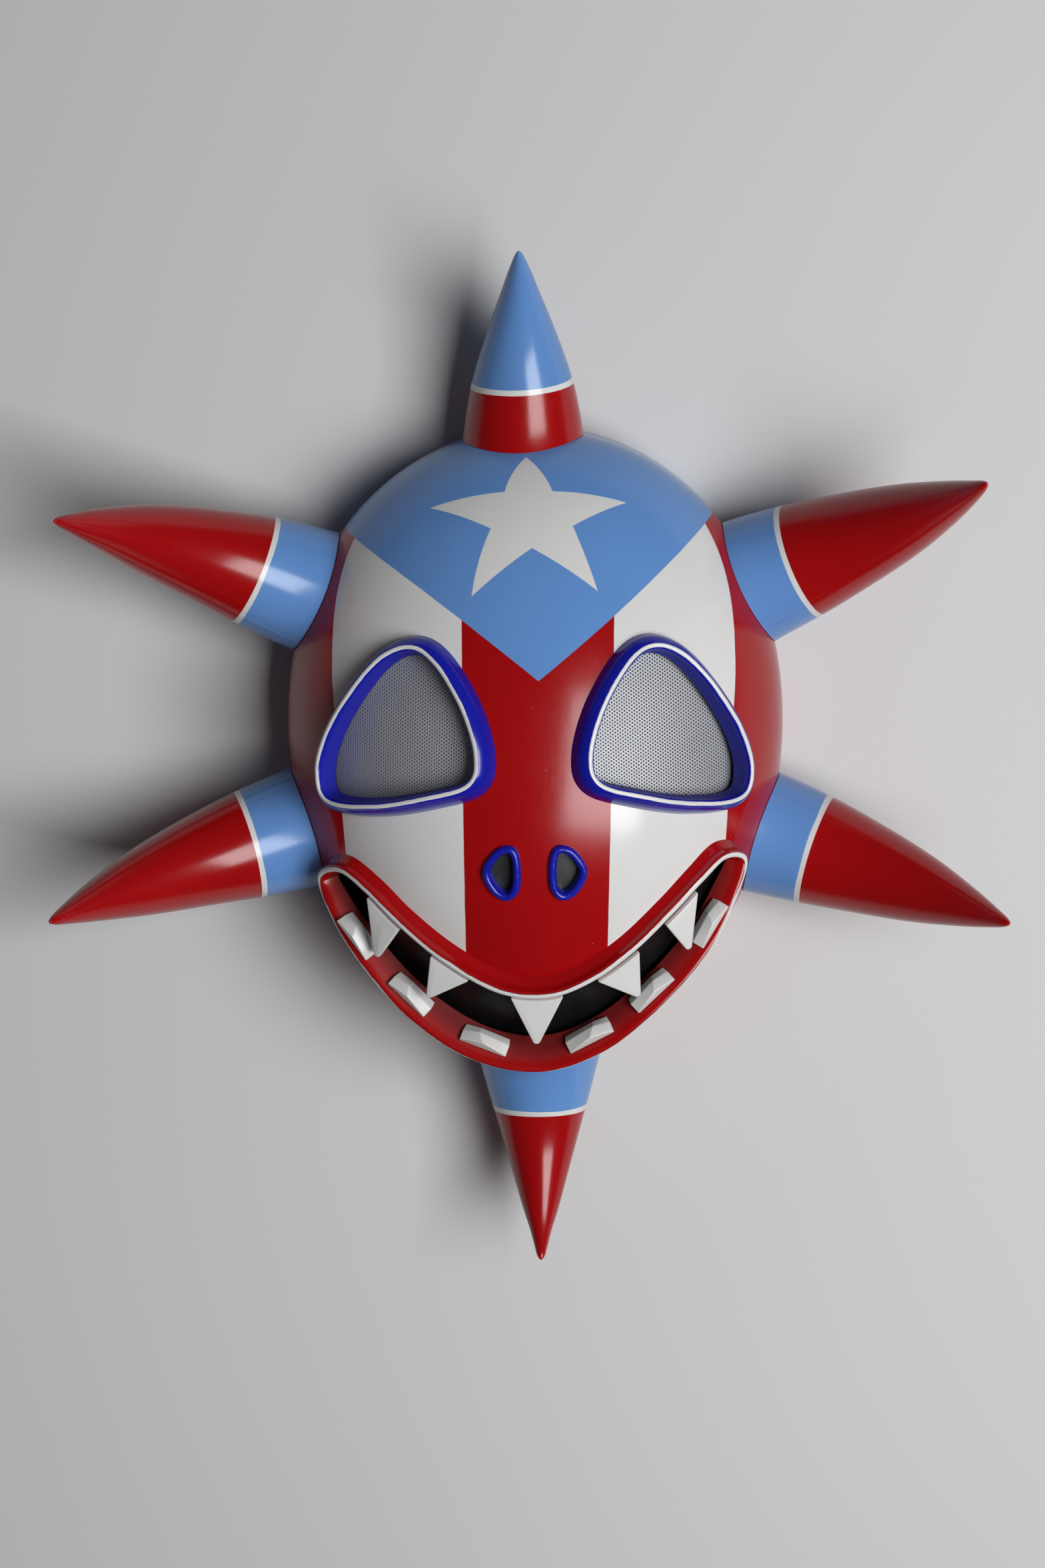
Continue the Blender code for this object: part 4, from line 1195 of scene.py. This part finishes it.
def make_eye_sheet(side, word, material):
    """The pierced sheet behind an eye, bent to the inside of the shell."""
    edge = inset_loop(placed_loop(mirrored(EYE_OUTLINE, side), SHEET_STEPS), -SHEET_MARGIN)[:, :2]
    middle = edge.mean(axis=0)
    normal = dome_normal(on_dome(*middle))
    upright = unit(np.array([0.0, 1.0, 0.0]) - normal * normal[1])
    across = np.cross(upright, normal)
    axes = np.array([across[:2], upright[:2]])
    outline = (edge - middle) @ np.linalg.inv(axes)
    centres = hole_centres(outline)
    turns = 2 * math.pi * np.arange(HOLE_SIDES) / HOLE_SIDES
    circle = np.stack([np.cos(turns), np.sin(turns)], axis=1) * HOLE_RADIUS
    holes = (centres[:, None] + circle[None]).reshape(-1, 2)
    flat = np.concatenate([outline, holes])
    edges = [(index, (index + 1) % SHEET_STEPS) for index in range(SHEET_STEPS)]
    for start in range(SHEET_STEPS, len(flat), HOLE_SIDES):
        edges += [(start + step, start + (step + 1) % HOLE_SIDES) for step in range(HOLE_SIDES)]
    scaled = [Vector(point) for point in flat / MM]
    made, _, triangles, sources, _, _ = delaunay_2d_cdt(scaled, edges, [], INSIDE_ONLY, SAME_POINT)
    owner = np.array([source[0] for source in sources])
    hole_of = np.where(owner < SHEET_STEPS, -1, (owner - SHEET_STEPS) // HOLE_SIDES)
    kept = [triangle for triangle in triangles
            if not (hole_of[triangle[0]] >= 0 and len({hole_of[corner] for corner in triangle}) == 1)]
    spots = middle + np.array([tuple(point) for point in made]) * MM @ axes
    depth = SHELL_WALL + PLATE_GAP
    front = on_dome(spots[:, 0], spots[:, 1], -depth)
    back = on_dome(spots[:, 0], spots[:, 1], -depth - SHEET_THICKNESS)
    count = len(front)
    faces = [tuple(triangle) for triangle in kept]
    faces += [tuple(count + corner for corner in reversed(triangle)) for triangle in kept]
    place_of = {int(source): index for index, source in enumerate(owner)}
    for first, second in edges:
        first, second = place_of[first], place_of[second]
        faces.append((first, second, count + second, count + first))
    sheet = add_object(f"eye_sheet_{word}", np.concatenate([front, back]), faces, [material])
    shade_round(sheet, SHEET_SHARP_ANGLE)
    return sheet


def make_screen(material):
    """The dark backing behind the mouth and the nostrils."""
    edge = placed_loop(both_halves(SCREEN_OUTLINE), SCREEN_STEPS)
    middle = np.array([0.0, SCREEN_MIDDLE_Y])
    depth = SHELL_WALL + PLATE_GAP
    points = []
    for lift in (-depth, -depth - SCREEN_THICKNESS):
        points.append(on_dome(*middle, lift))
        for ring in range(1, SCREEN_RINGS + 1):
            spots = middle + (edge - middle) * ring / SCREEN_RINGS
            points.extend(on_dome(spots[:, 0], spots[:, 1], lift))
    count = len(edge)
    layer = 1 + SCREEN_RINGS * count
    faces = []
    for index in range(count):
        following = (index + 1) % count
        for base in (0, layer):
            faces.append((base, base + 1 + index, base + 1 + following))
            for ring in range(SCREEN_RINGS - 1):
                inner = base + 1 + ring * count
                outer = inner + count
                faces.append((inner + index, outer + index, outer + following, inner + following))
        rim = 1 + (SCREEN_RINGS - 1) * count
        faces.append((rim + index, layer + rim + index, layer + rim + following, rim + following))
    screen = add_object("mouth_backing", points, faces, [material])
    shade_round(screen)
    return screen


def lip_frame_near(wanted, upper):
    """Place, normal, way out and height of the upper or lower lip where it is nearest to a point."""
    loop = placed_loop(LIP_OUTLINE, LIP_FINE_STEPS)
    places, normals, outward = loop_frames(loop)
    distance = np.linalg.norm(places[:, :2] - wanted, axis=1)
    distance[(outward[:, 1] > 0) != upper] = np.inf
    nearest = int(np.argmin(distance))
    return places[nearest], normals[nearest], outward[nearest], loop[nearest, 2]


def inner_wall(normal, outward, height):
    """Directions up along the lip's inner wall, and squarely away from it into the mouth."""
    slope = math.atan2(LIP_INNER_FOOT - LIP_CREST / 2, height)
    wall = normal * math.cos(slope) + outward * math.sin(slope)
    away = normal * math.sin(slope) - outward * math.cos(slope)
    return wall, away


def tooth_root(share, root):
    """The point where an upper tooth's middle plane meets the lip, at a share of the root's length."""
    ends = [np.array(end) * MM for end in root]
    place, normal, outward, height = lip_frame_near(ends[0] + (ends[1] - ends[0]) * share, True)
    wall, away = inner_wall(normal, outward, height)
    foot = place - outward * LIP_INNER_FOOT
    return foot + wall * UPPER_TOOTH_ROOT_LIFT + away * (UPPER_TOOTH_THICKNESS / 2 + TOOTH_GAP)


def rounded_tip(tip, left, right):
    """Points round a tooth's tip, between the sides that run up to the root's two ends."""
    to_left = unit(left - tip)
    to_right = unit(right - tip)
    middle = unit(to_left + to_right)
    half_angle = math.acos(float(np.clip(to_left @ to_right, -1.0, 1.0))) / 2
    centre = tip + middle * UPPER_TOOTH_TIP_RADIUS
    across = unit(to_left - to_right)
    reach = math.pi / 2 - half_angle
    points = []
    for step in range(UPPER_TOOTH_TIP_STEPS + 1):
        turn = reach * (2 * step / UPPER_TOOTH_TIP_STEPS - 1)
        points.append(centre + (across * math.sin(turn) - middle * math.cos(turn)) * UPPER_TOOTH_TIP_RADIUS)
    return points


def round_edges(obj, width, segments, degrees):
    """Bevel an object's edges for good."""
    bevel = obj.modifiers.new("worn edges", "BEVEL")
    bevel.width = width
    bevel.segments = segments
    bevel.limit_method = "ANGLE"
    bevel.angle_limit = math.radians(degrees)
    apply_modifiers(obj)
    shade_round(obj)


def make_upper_tooth(number, root, tip, material):
    """A flat pointed plate that hangs from the inside of the upper lip."""
    tip_place = on_dome(tip[0] * MM, tip[1] * MM, UPPER_TOOTH_TIP_LIFT)
    front = dome_normal(on_dome(tip[0] * MM, tip[1] * MM))
    shares = np.linspace(0.0, 1.0, UPPER_TOOTH_ROOT_STEPS + 1)
    roots = [tooth_root(share, root) for share in shares]
    outline = np.array(roots + rounded_tip(tip_place, roots[0], roots[-1]))
    half = UPPER_TOOTH_THICKNESS / 2
    points = np.concatenate([outline - front * half, outline + front * half])
    tooth = add_object(f"tooth_upper_{number}", points, stack_faces(len(outline), 2), [material])
    round_edges(tooth, UPPER_TOOTH_EDGE, UPPER_TOOTH_EDGE_STEPS, UPPER_TOOTH_EDGE_ANGLE)
    return tooth


def make_lower_tooth(number, drawn, lean, material):
    """A chunky tooth with an off-centre ridge, on the inner wall of the lower lip."""
    place, normal, outward, height = lip_frame_near(np.array(drawn) * MM, False)
    along = unit(np.cross(normal, outward))
    along = along * math.copysign(1.0, along[0])
    wall, away = inner_wall(normal, outward, height)
    bulge = LOWER_TOOTH_LENGTH**2 / (8 * SHELL_HALF_WIDTH)
    foot = place - outward * LIP_INNER_FOOT + wall * LOWER_TOOTH_FOOT + away * (TOOTH_GAP + bulge)
    half = LOWER_TOOTH_LENGTH / 2
    near_depth = LOWER_TOOTH_END_DEPTH * LOWER_TOOTH_NEAR_SHARE
    middle_profile = [
        (-half, 0.0), (-half, LOWER_TOOTH_END_DEPTH),
        (LOWER_TOOTH_LENGTH * LOWER_TOOTH_RIDGE_PLACE, LOWER_TOOTH_DEPTH), (half, near_depth), (half, 0.0),
    ]
    foot_profile = [(run * LOWER_TOOTH_FOOT_TAPER, depth * LOWER_TOOTH_FOOT_DEPTH)
                    for run, depth in middle_profile]
    top_profile = [
        (-half, 0.0), (-half, LOWER_TOOTH_END_DEPTH * LOWER_TOOTH_TOP_TAPER),
        (LOWER_TOOTH_LENGTH * LOWER_TOOTH_TOP_RIDGE, LOWER_TOOTH_TOP_DEPTH), (half, near_depth), (half, 0.0),
    ]
    levels = (0.0, LOWER_TOOTH_HEIGHT * LOWER_TOOTH_SHOULDER, LOWER_TOOTH_HEIGHT)
    points = []
    for level, profile in zip(levels, (foot_profile, middle_profile, top_profile)):
        for run, depth in profile:
            points.append(foot + along * run * lean + away * depth + wall * level)
    faces = stack_faces(len(foot_profile), len(levels))
    tooth = add_object(f"tooth_lower_{number}", points, faces, [material])
    round_edges(tooth, LOWER_TOOTH_EDGE, LOWER_TOOTH_EDGE_STEPS, LOWER_TOOTH_EDGE_ANGLE)
    return tooth


class Horn:
    """A horn's forward-curling axis and round sections, by the share of its length from the tip."""

    def __init__(self, place, pointing, length, radius, tilt, curl, bow, kind, ring):
        edge = dome_ring(math.pi / 2, np.array(math.radians(place)))
        self.base = np.array([edge[0], edge[1], HORN_AXIS_HEIGHT])
        heading = math.radians(pointing)
        self.flat = np.array([math.cos(heading), math.sin(heading), 0.0])
        self.sideways = np.array([-self.flat[1], self.flat[0], 0.0])
        self.tilt = math.radians(tilt)
        self.curl = math.radians(curl)
        self.length = length - HORN_SHORTER
        self.radius = radius
        self.bow = bow
        self.ring = ring
        self.slope = 1.0 / math.cos(self.tilt + self.curl * (1.0 - (ring[0] + ring[1]) / 2))
        shape = HORN_SHAPES[kind]
        self.tip_share = shape[0][0]
        corners = np.array([[(0.0, shape[0][1] * HORN_TIP_END), *shape]])
        self.profile = smooth_chain(corners, HORN_PROFILE_STEPS)[0]

    def thickness(self, share):
        """The section's radius as a share of the base radius, with a rounded tip."""
        size = np.interp(share, self.profile[:, 0], self.profile[:, 1])
        blunt = np.interp(self.tip_share, self.profile[:, 0], self.profile[:, 1])
        return np.where(share < self.tip_share, blunt * (share / self.tip_share) ** HORN_TIP_POWER, size)

    def point(self, share, angle, fatness=1.0):
        """Points of the horn at a share from the tip and an angle round it."""
        share, angle = np.broadcast_arrays(np.asarray(share, dtype=float), angle)
        bend = self.bow * np.sin(math.pi * np.minimum(share, 1.0) ** BOW_SKEW)
        width = self.radius * self.thickness(share) * fatness
        run = 1.0 - share
        lean = self.tilt + self.curl * run
        climb = self.length / self.curl * np.log(math.cos(self.tilt) / np.cos(lean))
        over = bend + width * np.cos(angle)
        forward = self.length * run + width * np.sin(angle) * np.sin(lean)
        upward = climb - width * np.sin(angle) * np.cos(lean)
        level = forward[..., None] * self.flat + over[..., None] * self.sideways
        return self.base + level + upward[..., None] * np.array([0.0, 0.0, 1.0])

    def meeting(self, angle, fatness=1.0):
        """The share at which each side line comes to the shell."""
        low, high = (np.full(angle.shape, share) for share in HORN_MEETING)
        for _ in range(HORN_HALVINGS):
            middle = (low + high) / 2
            outside = fullness(self.point(middle, angle, fatness)) > 1.0
            low, high = np.where(outside, middle, low), np.where(outside, high, middle)
        return low - HORN_GAP / self.length


def make_horn(name, values, material):
    """One horn, from its rounded tip to a base that follows the shell."""
    horn = Horn(*values)
    angles = 2 * math.pi * np.arange(HORN_SIDES) / HORN_SIDES
    ends = horn.meeting(angles)
    ring_share = (horn.ring[0] + horn.ring[1]) / 2 + (horn.ring[0] - horn.ring[1]) / 2 * np.cos(angles)
    ring_share += horn.ring[2] * np.sin(angles)
    scale = horn.length * horn.slope
    points = [horn.point(np.array([0.0]), np.array([0.0]))]
    past = [np.array([-ring_share.mean() * scale])]
    for ring in range(1, HORN_RINGS + 1):
        shares = ends * (ring / HORN_RINGS) ** HORN_RING_POWER
        points.append(horn.point(shares, angles))
        past.append((shares - ring_share) * scale)
    for ring in range(1, HORN_CAP_RINGS):
        fatness = 1.0 - ring / HORN_CAP_RINGS
        shares = horn.meeting(angles, fatness)
        points.append(horn.point(shares, angles, fatness))
        past.append((ends - ring_share) * scale)
    middle_share = horn.meeting(np.array([0.0]), 0.0)
    points.append(horn.point(middle_share, np.array([0.0]), 0.0))
    past.append(np.array([(ends - ring_share).mean() * scale]))
    rings = HORN_RINGS + HORN_CAP_RINGS - 1
    last = 1 + rings * HORN_SIDES
    faces = []
    for side in range(HORN_SIDES):
        following = (side + 1) % HORN_SIDES
        faces.append((0, 1 + side, 1 + following))
        for start in range(1, last - HORN_SIDES, HORN_SIDES):
            faces.append((start + side, start + HORN_SIDES + side,
                          start + HORN_SIDES + following, start + following))
        faces.append((last, last - HORN_SIDES + following, last - HORN_SIDES + side))
    numbers = {"past_ring": np.concatenate(past) / MM}
    obj = add_object(f"painted_{name}", np.concatenate(points), faces, [material], numbers)
    shade_round(obj)
    return obj


# Stage

CAMERA_PLACE = (0.019864, 0.220002, 1.997761)
CAMERA_TURN = math.radians(0.8)
CAMERA_DROP = math.radians(7.5)
CAMERA_ROLL = math.radians(0.6)
CAMERA_LENS = 80.709
CAMERA_SENSOR = 36.0
CAMERA_SEES = (0.01, 50.0)

# The soft light: its turn to the right and rise from straight over the face, its distance from the point
# at this height over the middle of the face, its size and its power
LIGHT_TURN = math.radians(28.0)
LIGHT_RISE = math.radians(-3.0)
LIGHT_AIM_HEIGHT = 0.06
LIGHT_DISTANCE = 2.2
LIGHT_SIZE = 1.25
LIGHT_POWER = 48.0
SURROUNDINGS_COLOUR = (0.95, 0.97, 1.0, 1.0)
SURROUNDINGS_STRENGTH = 0.045

FLOOR_HALF = 4.0
FLOOR_ROUGHNESS = 0.7


def make_camera():
    """The camera above the lying mask, at the photograph's place and angle."""
    ahead = np.array([-math.sin(CAMERA_TURN) * math.cos(CAMERA_DROP), -math.sin(CAMERA_DROP),
                      -math.cos(CAMERA_DROP) * math.cos(CAMERA_TURN)])
    level = np.array([math.cos(CAMERA_TURN), 0.0, -math.sin(CAMERA_TURN)])
    upright = np.cross(level, ahead)
    right = math.cos(CAMERA_ROLL) * level - math.sin(CAMERA_ROLL) * upright
    top = math.sin(CAMERA_ROLL) * level + math.cos(CAMERA_ROLL) * upright
    lens = bpy.data.cameras.new("camera")
    lens.sensor_width = CAMERA_SENSOR
    lens.lens = CAMERA_LENS
    lens.clip_start, lens.clip_end = CAMERA_SEES
    camera = bpy.data.objects.new("camera", lens)
    turn = Matrix((right, top, -ahead)).transposed()
    place = Vector(CAMERA_PLACE) + FACE_ORIGIN
    camera.matrix_world = Matrix.Translation(place) @ turn.to_4x4()
    bpy.context.scene.collection.objects.link(camera)
    bpy.context.scene.camera = camera


def make_soft_light():
    """A broad soft light to the right of the camera, aimed at the face."""
    level = math.cos(LIGHT_RISE)
    way = Vector((math.sin(LIGHT_TURN) * level, math.sin(LIGHT_RISE), math.cos(LIGHT_TURN) * level))
    light = bpy.data.lights.new("soft light", "AREA")
    light.shape = "SQUARE"
    light.size = LIGHT_SIZE
    light.energy = LIGHT_POWER
    lamp = bpy.data.objects.new("soft light", light)
    lamp.location = FACE_ORIGIN + Vector((0.0, 0.0, LIGHT_AIM_HEIGHT)) + way * LIGHT_DISTANCE
    lamp.rotation_euler = way.to_track_quat("Z", "Y").to_euler()
    bpy.context.scene.collection.objects.link(lamp)


def make_surroundings():
    """The dim light that comes from all round."""
    world = bpy.data.worlds.new("surroundings")
    world.use_nodes = True
    background = world.node_tree.nodes["Background"]
    background.inputs["Color"].default_value = SURROUNDINGS_COLOUR
    background.inputs["Strength"].default_value = SURROUNDINGS_STRENGTH
    bpy.context.scene.world = world


def make_floor():
    """A plain pale floor under the mask."""
    material, tree, shader = new_material("pale floor")
    shader.inputs["Roughness"].default_value = FLOOR_ROUGHNESS
    cloud = noise(tree, coordinates(tree), per_metre=1.5)
    feed(tree, shader.inputs["Base Color"], mottled(tree, FLOOR, cloud, amount=0.06))
    corners = [(x * FLOOR_HALF, y * FLOOR_HALF, 0.0) for x, y in ((-1, -1), (1, -1), (1, 1), (-1, 1))]
    mesh = bpy.data.meshes.new("floor")
    mesh.from_pydata(corners, [], [(0, 1, 2, 3)])
    mesh.materials.append(material)
    floor = bpy.data.objects.new("floor", mesh)
    bpy.context.scene.collection.objects.link(floor)


def make_mask():
    """Every piece of the mask, each in place of its solid."""
    shell = make_shell([face_enamel(), raw_paper()])
    settle(shell, "face_shell")
    settle(make_lip(lip_enamel()), "lip")
    settle(make_screen(screen_paint()), "mouth_screen")
    rim, bead, metal = rim_enamel(), bead_enamel(), sheet_metal()
    for side, word in ((-1, "left"), (1, "right")):
        settle(make_eye_rim(side, word, rim), f"eye_rim_{word}")
        settle(make_eye_sheet(side, word, metal), f"eye_mesh_{word}")
        settle(make_nostril_bead(side, word, bead), f"nostril_rim_{word}")
    white = tooth_enamel()
    for number, (root, tip) in enumerate(UPPER_TEETH, 1):
        settle(make_upper_tooth(number, root, tip, white), f"upper_tooth_{number}")
    for number, (x, y, lean) in enumerate(LOWER_TEETH, 1):
        settle(make_lower_tooth(number, (x, y), lean, white), f"lower_tooth_{number}")
    red_horn = horn_enamel("horn enamel", SKY, RED)
    blue_horn = horn_enamel("top horn enamel", RED, CONE_SKY)
    for name, values in HORNS.items():
        top = name == "horn_top"
        horn = make_horn(name, values, blue_horn if top else red_horn)
        settle(horn, name)


bpy.context.scene.view_settings.view_transform = "Standard"
make_camera()
make_floor()
make_soft_light()
make_surroundings()
make_mask()
